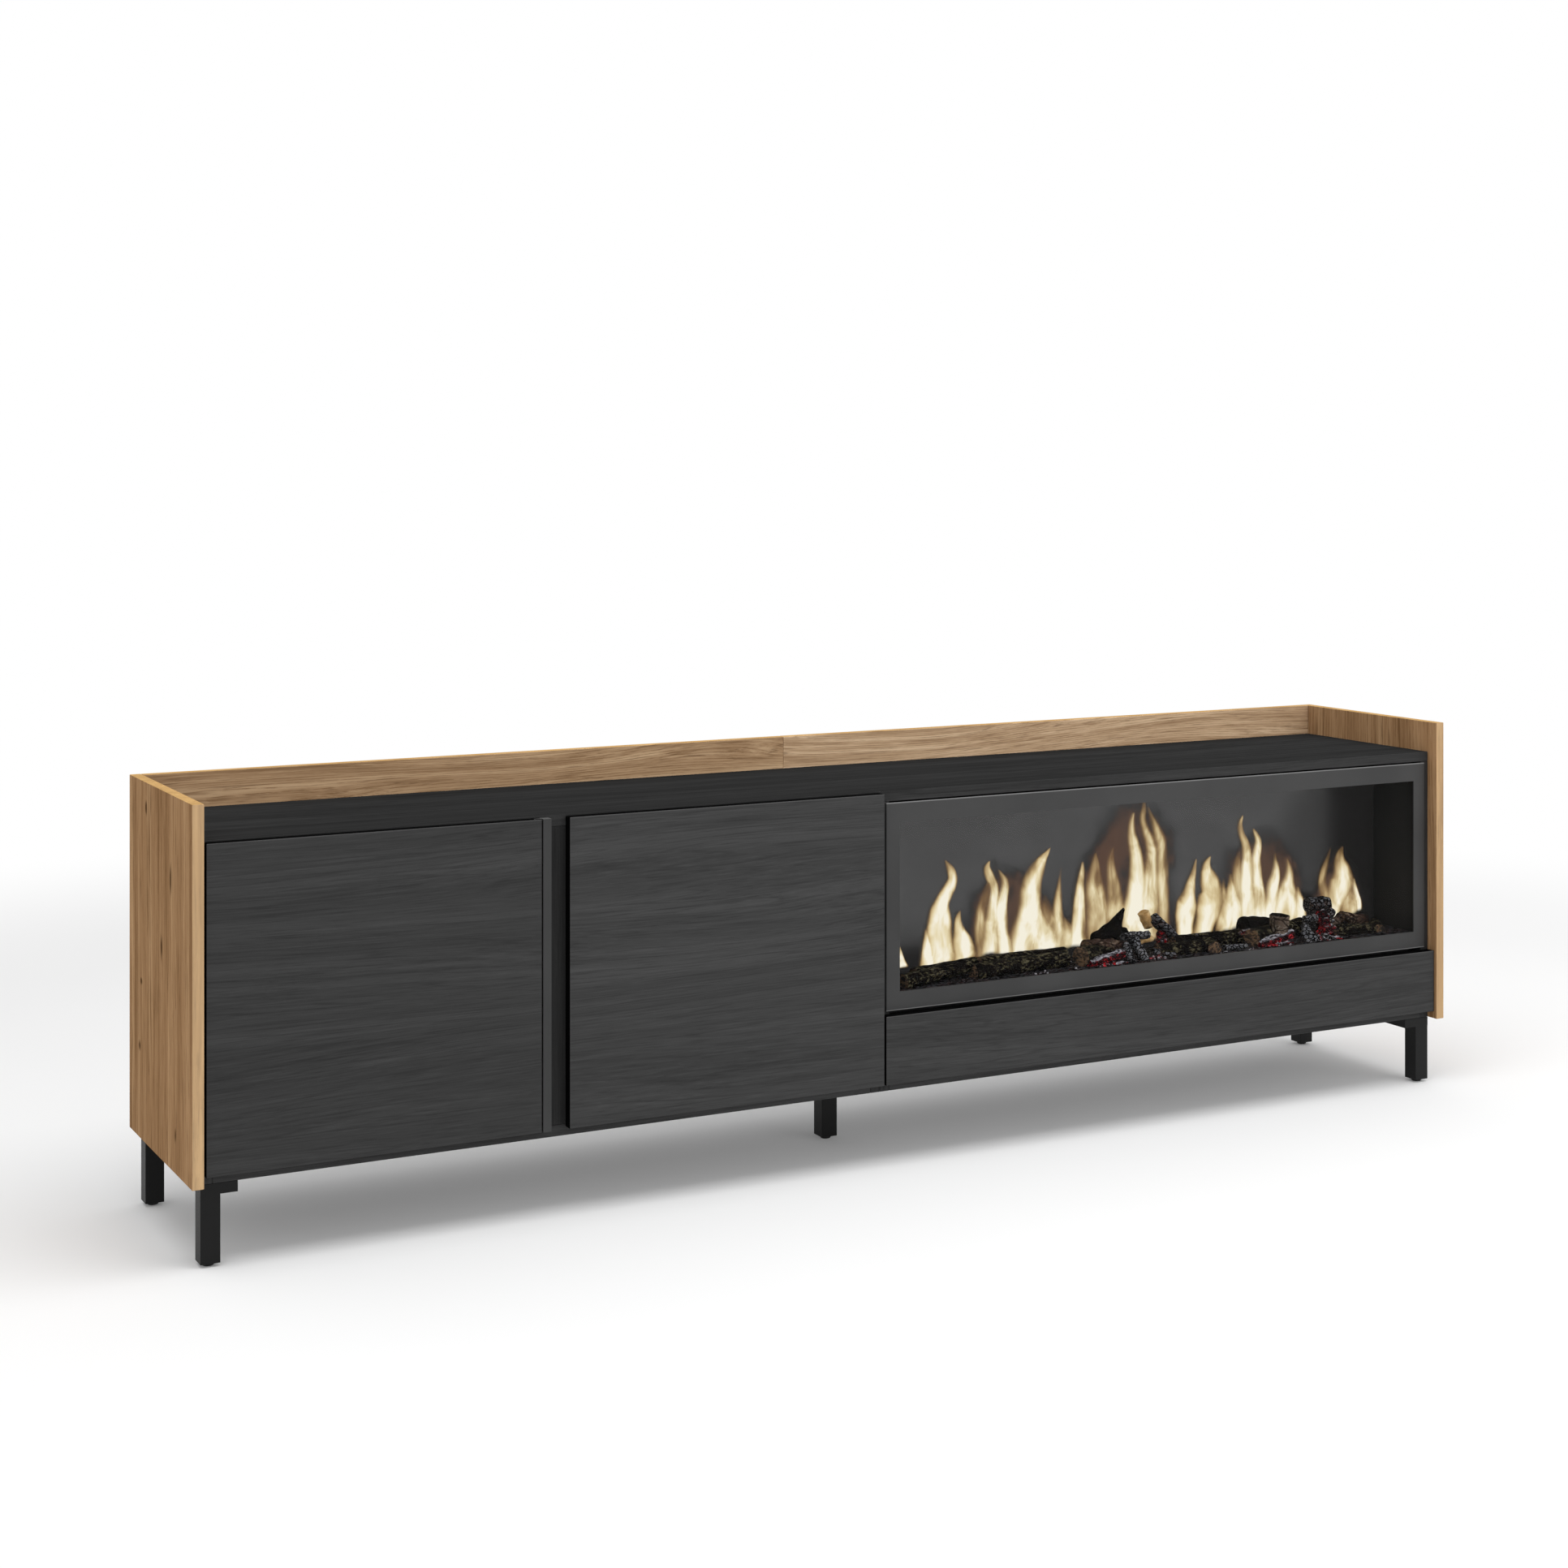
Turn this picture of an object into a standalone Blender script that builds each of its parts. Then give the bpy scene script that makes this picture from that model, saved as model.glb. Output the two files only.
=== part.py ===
# A low television sideboard: two dark modules side by side between oak end panels,
# one behind two doors, the other with an electric fireplace over a wide drawer.
# Metres, +Z up, the front towards -Y, the origin on the floor under the middle.

import math

import bmesh
import bpy
from mathutils import Vector

# Outline of the whole piece
WIDTH = 2.000
DEPTH = 0.327
HEIGHT = 0.573
UNDERSIDE_HEIGHT = 0.1027

# Boards
OAK_THICKNESS = 0.015
BOARD_THICKNESS = 0.015
DOOR_THICKNESS = 0.015
BACK_THICKNESS = 0.003
BOARD_EDGE = 0.0006
OAK_EDGE = 0.0008

# Arrangement of the boards
TRAY_DEPTH = 0.0475
FRONT_SETBACK = 0.020
LEFT_MODULE_WIDTH = 0.9620
STILE_WIDTH = 0.080
SHELF_SETBACK = 0.030
SHELF_THICKNESS = 0.015

# Clearances
SEAT_GAP = 0.0003
DOOR_SEAT = 0.0008
DOOR_OAK_GAP = 0.0037
DRAWER_OAK_GAP = 0.0015
FRONT_GAP = 0.0030
DOOR_TOP_DROP = 0.0020

# Doors
DOOR_BOTTOM_RISE = 0.0118
RIGHT_DOOR_WIDTH = 0.4765
FINGER_RECESS = 0.0260
PIVOT_INSET = 0.0030

# Grip profile on the free edge of the left door
GRIP_FACE = 0.0115
GRIP_SHADOW_GAP = 0.0020
GRIP_TONGUE_LENGTH = 0.0080
GRIP_TONGUE_THICKNESS = 0.0030
TONGUE_FIT = 0.0003

# Concealed hinges
HINGE_END_DISTANCE = 0.100
CUP_RADIUS = 0.0175
CUP_DEPTH = 0.0115
CUP_WALL = 0.0010
CUP_EDGE_DISTANCE = 0.0215
CUP_FIT = 0.0003
CUP_SIDES = 40
ARM_HEIGHT = 0.014
ARM_THICKNESS = 0.008
ARM_STANDOFF = 0.0016
ARM_REACH = 0.005
ARM_LENGTH = 0.058
PLATE_THICKNESS = 0.0040
PLATE_START = 0.022
PLATE_LENGTH = 0.048

# Shelf pins
PIN_RADIUS = 0.0025
PIN_REACH = 0.0080
PIN_END_DISTANCE = 0.060
PIN_SIDES = 12

# Drawer
DRAWER_FRONT_HEIGHT = 0.0965
DRAWER_BOX_DEPTH = 0.245
DRAWER_BOX_HEIGHT = 0.068
DRAWER_BOX_RISE = 0.012
DRAWER_SIDE_THICKNESS = 0.012
DRAWER_BOTTOM_THICKNESS = 0.004
RUNNER_WIDTH = 0.0125
RUNNER_HEIGHT = 0.035
RUNNER_METAL = 0.0015
RUNNER_LIP = 0.0085
RAIL_THICKNESS = 0.0060
RAIL_FIT = 0.0004

# Fireplace front
BEZEL_DRAWER_GAP = 0.0040
BEZEL_SIDE_MARGIN = 0.0090
BEZEL_TOP_GAP = 0.0020
BEZEL_THICKNESS = 0.0020
BEZEL_EDGE = 0.0005
WINDOW_TOP_BORDER = 0.0280
WINDOW_BOTTOM_BORDER = 0.0262
WINDOW_SIDE_BORDER = 0.0220
GLASS_THICKNESS = 0.0040
GLASS_EDGE = 0.0005

# Fireplace body
INSERT_SIDE_GAP = 0.0060
INSERT_TOP_GAP = 0.0030
CASING_WALL = 0.0015
CASING_DEPTH = 0.2535
BEZEL_SHELF_OVERLAP = 0.0060
MID_SHELF_SETBACK = 0.0200
BED_FRONT_GAP = 0.0030
BED_END_GAP = 0.0020
BED_DEPTH = 0.0900
BED_HEIGHT = 0.0140
LOG_RADIUS = 0.0150
LOG_TAPER = 0.92
LOG_SIDES = 10
SCREEN_THICKNESS = 0.0030
SCREEN_STANDOFF = 0.0060
LED_BAR_DEPTH = 0.0120
LED_BAR_HEIGHT = 0.0080
LED_BAR_STANDOFF = 0.0080
SPINDLE_STANDOFF = 0.0550
SPINDLE_RISE = 0.0400
ROD_RADIUS = 0.0030
ROD_SIDES = 12
JOURNAL_RADIUS = 0.0020
JOURNAL_LENGTH = 0.0060
JOURNAL_FIT = 0.0002
JOURNAL_SIDES = 16
PADDLE_WIDTH = 0.0260
PADDLE_LENGTH = 0.0420
PADDLE_THICKNESS = 0.0008
PADDLE_PITCH = 0.0560
PADDLE_TURN = math.radians(75)
BEARING_WIDTH = 0.0100
BEARING_DEPTH = 0.0160
BEARING_HEAD = 0.0080
MOTOR_RADIUS = 0.0190
MOTOR_LENGTH = 0.0220
MOTOR_SIDES = 28
MOTOR_BRACKET = 0.0020
CONTROL_LENGTH = 0.120
CONTROL_DEPTH = 0.060
CONTROL_HEIGHT = 0.032
CONTROL_REAR_GAP = 0.0150
CONTROL_END_DISTANCE = 0.140
INLET_WIDTH = 0.0300
INLET_HEIGHT = 0.0240
INLET_STANDOUT = 0.0060
INLET_INSIDE = 0.0140
INLET_SOCKET_DEPTH = 0.0120
INLET_WALL = 0.0030
INLET_FLANGE = 0.0040
INLET_PIN_RADIUS = 0.0010
INLET_PIN_OFFSET = 0.0050
INLET_PIN_SIDES = 8
INLET_END_DISTANCE = 0.080
INLET_RISE = 0.060

# Logs on the bed: for each end its share of the bed's length, its share of the bed's depth and
# the rise of its middle over the bed, then the radius, both as shares of the thickest radius
LOG_LAYOUT = (
    ((0.029, 0.206, 0.633), (0.156, 0.406, 1.267), 0.780),
    ((0.067, 0.572, 0.633), (0.186, 0.739, 0.833), 0.800),
    ((0.157, 0.294, 0.660), (0.332, 0.406, 0.793), 0.860),
    ((0.192, 0.739, 0.733), (0.356, 0.828, 0.700), 0.800),
    ((0.348, 0.272, 0.967), (0.472, 0.850, 0.833), 1.000),
    ((0.400, 0.572, 0.667), (0.473, 0.861, 3.533), 0.767),
    ((0.485, 0.683, 1.927), (0.459, 0.094, 0.193), 0.587),
    ((0.528, 0.828, 3.667), (0.562, 0.572, 0.467), 0.567),
    ((0.604, 0.161, 0.593), (0.502, 0.250, 0.767), 0.813),
    ((0.545, 0.572, 0.867), (0.688, 0.628, 0.833), 0.900),
    ((0.685, 0.272, 0.967), (0.827, 0.850, 0.933), 1.000),
    ((0.706, 0.783, 1.167), (0.781, 0.783, 1.100), 1.200),
    ((0.755, 0.361, 0.733), (0.779, 0.683, 2.067), 0.880),
    ((0.818, 0.628, 1.327), (0.797, 0.094, 0.067), 0.553),
    ((0.833, 0.572, 0.533), (0.875, 0.861, 3.000), 0.700),
    ((0.904, 0.806, 1.600), (0.974, 0.828, 0.400), 0.500),
    ((0.859, 0.272, 0.593), (0.947, 0.272, 0.467), 0.700),
    ((0.942, 0.683, 0.467), (0.991, 0.650, 0.433), 0.600),
)

# Openings in the backs
CABLE_HOLE_RADIUS = 0.030
CABLE_HOLE_RISE = 0.080
CABLE_HOLE_SIDES = 32
SERVICE_WIDTH = 0.120
SERVICE_HEIGHT = 0.070

# Legs and levelling feet
LEG_SIDE = 0.025
BRACKET_SIDE = 0.0467
BRACKET_THICKNESS = 0.0134
BRACKET_SCREW_RADIUS = 0.0025
BRACKET_SCREW_SIDES = 12
MIDDLE_LEG_DEPTH = 0.0160
FOOT_RADIUS = 0.0075
FOOT_PAD = 0.0037
FOOT_CHAMFER = 0.0008
FOOT_SIDES = 24
FOOT_STEM_RADIUS = 0.0040
FOOT_STEM_LENGTH = 0.022
STEM_FIT = 0.0003
STEM_HOLE_SPARE = 0.003
STEM_HOLE_SIDES = 20

# Planes worked out from the sizes
FRONT = -DEPTH / 2
BACK = DEPTH / 2
LEFT = -WIDTH / 2
RIGHT = WIDTH / 2
CARCASS_FRONT = FRONT + FRONT_SETBACK
CARCASS_LEFT = LEFT + OAK_THICKNESS + SEAT_GAP
CARCASS_RIGHT = RIGHT - OAK_THICKNESS - SEAT_GAP
CARCASS_BOTTOM = UNDERSIDE_HEIGHT
CARCASS_TOP = HEIGHT - TRAY_DEPTH
SIDE_REAR = BACK - BACK_THICKNESS - SEAT_GAP
GALLERY_FRONT = BACK - OAK_THICKNESS
TOP_REAR = GALLERY_FRONT - SEAT_GAP
LEFT_MODULE_RIGHT = LEFT + OAK_THICKNESS + LEFT_MODULE_WIDTH
RIGHT_MODULE_LEFT = LEFT_MODULE_RIGHT + SEAT_GAP
SIDE_TOP = CARCASS_TOP - BOARD_THICKNESS - SEAT_GAP
BOTTOM_BOARD_TOP = CARCASS_BOTTOM + BOARD_THICKNESS
SHELF_BOTTOM = (BOTTOM_BOARD_TOP + SIDE_TOP - SHELF_THICKNESS) / 2
SHELF_FRONT = CARCASS_FRONT + SHELF_SETBACK

DOOR_BACK = CARCASS_FRONT - DOOR_SEAT
DOOR_FRONT = DOOR_BACK - DOOR_THICKNESS
DOOR_TOP = CARCASS_TOP - DOOR_TOP_DROP
DOOR_BOTTOM = CARCASS_BOTTOM + DOOR_BOTTOM_RISE
LEFT_DOOR_LEFT = LEFT + OAK_THICKNESS + DOOR_OAK_GAP
RIGHT_DOOR_RIGHT = LEFT_MODULE_RIGHT - FRONT_GAP / 2
RIGHT_DOOR_LEFT = RIGHT_DOOR_RIGHT - RIGHT_DOOR_WIDTH
GRIP_RIGHT = RIGHT_DOOR_LEFT - FINGER_RECESS
GRIP_LEFT = GRIP_RIGHT - GRIP_FACE
LEFT_DOOR_RIGHT = GRIP_LEFT - GRIP_SHADOW_GAP
PARTITION_CENTRE = (GRIP_RIGHT + RIGHT_DOOR_LEFT) / 2
DRAWER_LEFT = RIGHT_DOOR_RIGHT + FRONT_GAP
DRAWER_RIGHT = RIGHT - OAK_THICKNESS - DRAWER_OAK_GAP
DRAWER_TOP = DOOR_BOTTOM + DRAWER_FRONT_HEIGHT

BEZEL_TOP = SIDE_TOP + SEAT_GAP - BEZEL_TOP_GAP
BEZEL_BOTTOM = DRAWER_TOP + BEZEL_DRAWER_GAP
BEZEL_LEFT = RIGHT_MODULE_LEFT + BEZEL_SIDE_MARGIN
BEZEL_RIGHT = CARCASS_RIGHT - BEZEL_SIDE_MARGIN
BEZEL_BACK = CARCASS_FRONT - SEAT_GAP
MID_SHELF_TOP = BEZEL_BOTTOM + BEZEL_SHELF_OVERLAP
OPENING_LEFT = RIGHT_MODULE_LEFT + BOARD_THICKNESS
OPENING_RIGHT = CARCASS_RIGHT - BOARD_THICKNESS
CASING_LEFT = OPENING_LEFT + INSERT_SIDE_GAP
CASING_RIGHT = OPENING_RIGHT - INSERT_SIDE_GAP
CASING_BOTTOM = MID_SHELF_TOP + SEAT_GAP
CASING_TOP = SIDE_TOP + SEAT_GAP - INSERT_TOP_GAP
CASING_FRONT = CARCASS_FRONT
CASING_BACK = CASING_FRONT + CASING_DEPTH
HEARTH_FLOOR = CASING_BOTTOM + CASING_WALL
GLASS_BACK = CASING_FRONT + GLASS_THICKNESS
BED_FRONT = GLASS_BACK + BED_FRONT_GAP
BED_BACK = BED_FRONT + BED_DEPTH
SCREEN_FRONT = BED_BACK + SCREEN_STANDOFF
SCREEN_BACK = SCREEN_FRONT + SCREEN_THICKNESS
SPINDLE_DEPTH = SCREEN_BACK + SPINDLE_STANDOFF
SPINDLE_HEIGHT = HEARTH_FLOOR + SPINDLE_RISE
INLET_CENTRE = CASING_RIGHT - INLET_END_DISTANCE
INLET_Z = HEARTH_FLOOR + INLET_RISE


def make_collection(name):
    collection = bpy.data.collections.new(name)
    bpy.context.scene.collection.children.link(collection)
    return collection


def make_material(name, colour, roughness, metallic=0.0, alpha=1.0):
    material = bpy.data.materials.new(name)
    material.use_nodes = True
    shader = material.node_tree.nodes["Principled BSDF"]
    shader.inputs["Base Color"].default_value = (*colour, 1.0)
    shader.inputs["Roughness"].default_value = roughness
    shader.inputs["Metallic"].default_value = metallic
    shader.inputs["Alpha"].default_value = alpha
    material.diffuse_color = (*colour, alpha)
    return material


def place(item, collection, material=None, parent=None):
    for holder in list(item.users_collection):
        holder.objects.unlink(item)
    collection.objects.link(item)
    if material:
        item.data.materials.append(material)
    if parent:
        item.parent = parent
        item.location = item.location - parent.location
    return item


def mesh_object(name, work, centre):
    mesh = bpy.data.meshes.new(name)
    work.to_mesh(mesh)
    work.free()
    item = bpy.data.objects.new(name, mesh)
    item.location = centre
    return item


def box(name, low, high, material, edge=0.0, segments=2, parent=None):
    size = [high[i] - low[i] for i in range(3)]
    centre = [(high[i] + low[i]) / 2 for i in range(3)]
    work = bmesh.new()
    bmesh.ops.create_cube(work, size=1.0)
    bmesh.ops.scale(work, vec=size, verts=work.verts)
    item = mesh_object(name, work, centre)
    if edge:
        bevel = item.modifiers.new("rounded edges", "BEVEL")
        bevel.width = edge
        bevel.segments = segments
    return place(item, parts, material, parent)


def cylinder(name, radius, length, centre, axis, sides, end_radius=None):
    work = bmesh.new()
    bmesh.ops.create_cone(
        work,
        cap_ends=True,
        segments=sides,
        radius1=radius,
        radius2=radius if end_radius is None else end_radius,
        depth=length,
    )
    item = mesh_object(name, work, centre)
    item.rotation_mode = "QUATERNION"
    item.rotation_quaternion = Vector(axis).to_track_quat("Z", "Y")
    return item


def cutter(item):
    item.hide_render = True
    item.display_type = "WIRE"
    return place(item, cutters)


def box_cutter(name, low, high):
    item = box(name, low, high, None)
    return cutter(item)


def combine(item, tool, operation):
    step = item.modifiers.new(tool.name, "BOOLEAN")
    step.operation = operation
    step.solver = "EXACT"
    step.object = tool
    return item


def cut(item, tool):
    return combine(item, tool, "DIFFERENCE")


def join(item, tool):
    return combine(item, tool, "UNION")


def outline(name, points, thickness, centre, material, rotation=(0.0, 0.0, 0.0), parent=None):
    curve = bpy.data.curves.new(name, "CURVE")
    curve.dimensions = "2D"
    curve.fill_mode = "BOTH"
    curve.extrude = thickness / 2
    spline = curve.splines.new("POLY")
    spline.points.add(len(points) - 1)
    for point, (x, y) in zip(spline.points, points):
        point.co = (x, y, 0.0, 1.0)
    spline.use_cyclic_u = True
    item = bpy.data.objects.new(name, curve)
    item.location = centre
    item.rotation_euler = rotation
    return place(item, parts, material, parent)


def turned(name, profile, centre, material, sides, rotation=(0.0, 0.0, 0.0), parent=None):
    work = bmesh.new()
    corners = [work.verts.new((radius, 0.0, z)) for radius, z in profile]
    for first, second in zip(corners, corners[1:]):
        work.edges.new((first, second))
    item = mesh_object(name, work, centre)
    item.rotation_euler = rotation
    screw = item.modifiers.new("turned", "SCREW")
    screw.axis = "Z"
    screw.steps = sides
    screw.render_steps = sides
    screw.use_merge_vertices = True
    screw.merge_threshold = 0.00001
    return place(item, parts, material, parent)


def pivot(name, location):
    empty = bpy.data.objects.new(name, None)
    empty.location = location
    empty.empty_display_size = 0.05
    parts.objects.link(empty)
    return empty


def make_oak_shell():
    for name, low_x, high_x in (
        ("left_side_panel", LEFT, LEFT + OAK_THICKNESS),
        ("right_side_panel", RIGHT - OAK_THICKNESS, RIGHT),
    ):
        box(name, (low_x, FRONT, CARCASS_BOTTOM), (high_x, BACK, HEIGHT), oak, OAK_EDGE)
    gallery_low = SIDE_TOP + SEAT_GAP
    for name, low_x, high_x in (
        ("gallery_left", CARCASS_LEFT, LEFT_MODULE_RIGHT),
        ("gallery_right", RIGHT_MODULE_LEFT, CARCASS_RIGHT),
    ):
        box(name, (low_x, GALLERY_FRONT, gallery_low), (high_x, BACK, HEIGHT), oak, OAK_EDGE)


def upright(name, low_x, high_x, low_y=CARCASS_FRONT, low_z=CARCASS_BOTTOM):
    return box(name, (low_x, low_y, low_z), (high_x, SIDE_REAR, SIDE_TOP), dark_board, BOARD_EDGE)


def add_pins(board, face_x, outward):
    for count, y in enumerate((SHELF_FRONT + PIN_END_DISTANCE, SIDE_REAR - PIN_END_DISTANCE)):
        centre = (
            face_x + outward * (PIN_REACH - BOARD_THICKNESS / 2) / 2,
            y,
            SHELF_BOTTOM - SEAT_GAP - PIN_RADIUS,
        )
        length = PIN_REACH + BOARD_THICKNESS / 2
        name = f"{board.name}_pin_{outward}_{count}"
        join(board, cutter(cylinder(name, PIN_RADIUS, length, centre, (1, 0, 0), PIN_SIDES)))


def make_left_module():
    outer_face = CARCASS_LEFT + BOARD_THICKNESS
    inner_face = LEFT_MODULE_RIGHT - BOARD_THICKNESS
    partition_left = PARTITION_CENTRE - BOARD_THICKNESS / 2
    partition_right = PARTITION_CENTRE + BOARD_THICKNESS / 2
    bottom_low = (outer_face + SEAT_GAP, CARCASS_FRONT, CARCASS_BOTTOM)
    bottom_high = (inner_face - SEAT_GAP, SIDE_REAR, BOTTOM_BOARD_TOP)
    standing = BOTTOM_BOARD_TOP + SEAT_GAP
    outer = upright("left_module_outer_side", CARCASS_LEFT, outer_face)
    inner = upright("left_module_inner_side", inner_face, LEFT_MODULE_RIGHT)
    box("left_module_bottom", bottom_low, bottom_high, dark_board, BOARD_EDGE)
    stile_back = CARCASS_FRONT + BOARD_THICKNESS
    partition = upright(
        "left_module_partition", partition_left, partition_right, stile_back + SEAT_GAP, standing
    )
    stile_low = (PARTITION_CENTRE - STILE_WIDTH / 2, CARCASS_FRONT, standing)
    stile_high = (PARTITION_CENTRE + STILE_WIDTH / 2, stile_back, SIDE_TOP)
    box("left_module_centre_stile", stile_low, stile_high, dark_board, BOARD_EDGE)
    top_low = (CARCASS_LEFT, CARCASS_FRONT, CARCASS_TOP - BOARD_THICKNESS)
    top_high = (LEFT_MODULE_RIGHT, TOP_REAR, CARCASS_TOP)
    box("left_module_top", top_low, top_high, dark_board, BOARD_EDGE)
    for name, low_x, high_x in (
        ("left_shelf", outer_face, partition_left),
        ("right_shelf", partition_right, inner_face),
    ):
        low = (low_x + SEAT_GAP, SHELF_FRONT, SHELF_BOTTOM)
        high = (high_x - SEAT_GAP, SIDE_REAR - SEAT_GAP, SHELF_BOTTOM + SHELF_THICKNESS)
        box(name, low, high, dark_board, BOARD_EDGE)
    add_pins(outer, outer_face, 1)
    add_pins(partition, partition_left, -1)
    add_pins(partition, partition_right, 1)
    add_pins(inner, inner_face, -1)
    back_low = (CARCASS_LEFT, BACK - BACK_THICKNESS, CARCASS_BOTTOM)
    back = box("left_module_back", back_low, (LEFT_MODULE_RIGHT, BACK, SIDE_TOP), back_board)
    for side, centre_x in (
        ("left", (outer_face + partition_left) / 2),
        ("right", (partition_right + inner_face) / 2),
    ):
        centre = (centre_x, BACK - BACK_THICKNESS / 2, BOTTOM_BOARD_TOP + CABLE_HOLE_RISE)
        hole = cylinder(
            f"{side}_cable_hole",
            CABLE_HOLE_RADIUS,
            4 * BACK_THICKNESS,
            centre,
            (0, 1, 0),
            CABLE_HOLE_SIDES,
        )
        cut(back, cutter(hole))
    return outer_face, inner_face


def make_right_module():
    upright("right_module_inner_side", RIGHT_MODULE_LEFT, OPENING_LEFT)
    upright("right_module_outer_side", OPENING_RIGHT, CARCASS_RIGHT)
    across_low = OPENING_LEFT + SEAT_GAP
    across_high = OPENING_RIGHT - SEAT_GAP
    bottom_high = (across_high, SIDE_REAR, BOTTOM_BOARD_TOP)
    box(
        "right_module_bottom",
        (across_low, CARCASS_FRONT, CARCASS_BOTTOM),
        bottom_high,
        dark_board,
        BOARD_EDGE,
    )
    shelf_low = (across_low, CARCASS_FRONT + MID_SHELF_SETBACK, MID_SHELF_TOP - BOARD_THICKNESS)
    box("fireplace_shelf", shelf_low, (across_high, SIDE_REAR, MID_SHELF_TOP), dark_board, BOARD_EDGE)
    top_low = (RIGHT_MODULE_LEFT, CARCASS_FRONT, CARCASS_TOP - BOARD_THICKNESS)
    top_high = (CARCASS_RIGHT, TOP_REAR, CARCASS_TOP)
    box("right_module_top", top_low, top_high, dark_board, BOARD_EDGE)
    back_low = (RIGHT_MODULE_LEFT, BACK - BACK_THICKNESS, CARCASS_BOTTOM)
    back = box("right_module_back", back_low, (CARCASS_RIGHT, BACK, SIDE_TOP), back_board)
    hole_low = (
        INLET_CENTRE - SERVICE_WIDTH / 2,
        BACK - 2 * BACK_THICKNESS,
        INLET_Z - SERVICE_HEIGHT / 2,
    )
    hole_high = (
        INLET_CENTRE + SERVICE_WIDTH / 2,
        BACK + BACK_THICKNESS,
        INLET_Z + SERVICE_HEIGHT / 2,
    )
    cut(back, box_cutter("service_hole", hole_low, hole_high))


def add_hinges(side, door, door_pivot, edge_x, face_x, inward):
    cup_x = edge_x + inward * CUP_EDGE_DISTANCE
    heights = (DOOR_BOTTOM + HINGE_END_DISTANCE, DOOR_TOP - HINGE_END_DISTANCE)
    for level, z in zip(("lower", "upper"), heights):
        pocket_depth = CUP_DEPTH + CUP_FIT
        pocket = cylinder(
            f"{side}_{level}_cup_pocket",
            CUP_RADIUS + CUP_FIT,
            2 * pocket_depth,
            (cup_x, DOOR_BACK, z),
            (0, 1, 0),
            CUP_SIDES,
        )
        cut(door, cutter(pocket))
        rim = -CUP_FIT / 2
        floor = rim - CUP_DEPTH
        profile = (
            (0.0, rim - CUP_DEPTH + CUP_WALL),
            (CUP_RADIUS - CUP_WALL, floor + CUP_WALL),
            (CUP_RADIUS - CUP_WALL, rim),
            (CUP_RADIUS, rim),
            (CUP_RADIUS, floor),
            (0.0, floor),
        )
        cup = turned(
            f"{side}_door_hinge_cup_{level}",
            profile,
            (cup_x, DOOR_BACK, z),
            nickel,
            CUP_SIDES,
            (-math.pi / 2, 0.0, 0.0),
            door_pivot,
        )
        near = face_x + inward * ARM_STANDOFF
        far = near + inward * ARM_THICKNESS
        link_front = DOOR_BACK - CUP_DEPTH + CUP_WALL / 2
        link_back = CARCASS_FRONT - ARM_REACH - SEAT_GAP
        link_low = (min(near, far), link_front, z - ARM_HEIGHT / 2)
        link_high = (max(near, far), link_back, z + ARM_HEIGHT / 2)
        join(cup, box_cutter(f"{side}_{level}_link", link_low, link_high))
        arm = (
            (SEAT_GAP, PLATE_START),
            (SEAT_GAP, PLATE_START + PLATE_LENGTH),
            (PLATE_THICKNESS, PLATE_START + PLATE_LENGTH),
            (PLATE_THICKNESS, ARM_LENGTH),
            (ARM_STANDOFF + ARM_THICKNESS, ARM_LENGTH),
            (ARM_STANDOFF + ARM_THICKNESS, -ARM_REACH),
            (ARM_STANDOFF, -ARM_REACH),
            (ARM_STANDOFF, PLATE_START),
        )
        points = [(inward * u, v) for u, v in arm]
        name = f"{side}_door_hinge_arm_{level}"
        outline(name, points, ARM_HEIGHT, (face_x, CARCASS_FRONT, z), nickel)


def make_doors(outer_face, inner_face):
    left_pivot = pivot("left_door_pivot", (LEFT_DOOR_LEFT + PIVOT_INSET, DOOR_FRONT + PIVOT_INSET, 0.0))
    right_pivot = pivot(
        "right_door_pivot", (RIGHT_DOOR_RIGHT - PIVOT_INSET, DOOR_FRONT + PIVOT_INSET, 0.0)
    )
    left = box(
        "left_door",
        (LEFT_DOOR_LEFT, DOOR_FRONT, DOOR_BOTTOM),
        (LEFT_DOOR_RIGHT, DOOR_BACK, DOOR_TOP),
        dark_board,
        BOARD_EDGE,
        parent=left_pivot,
    )
    right = box(
        "right_door",
        (RIGHT_DOOR_LEFT, DOOR_FRONT, DOOR_BOTTOM),
        (RIGHT_DOOR_RIGHT, DOOR_BACK, DOOR_TOP),
        dark_board,
        BOARD_EDGE,
        parent=right_pivot,
    )
    add_hinges("left", left, left_pivot, LEFT_DOOR_LEFT, outer_face, 1)
    add_hinges("right", right, right_pivot, RIGHT_DOOR_RIGHT, inner_face, -1)
    make_grip_profile(left, left_pivot)


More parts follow.
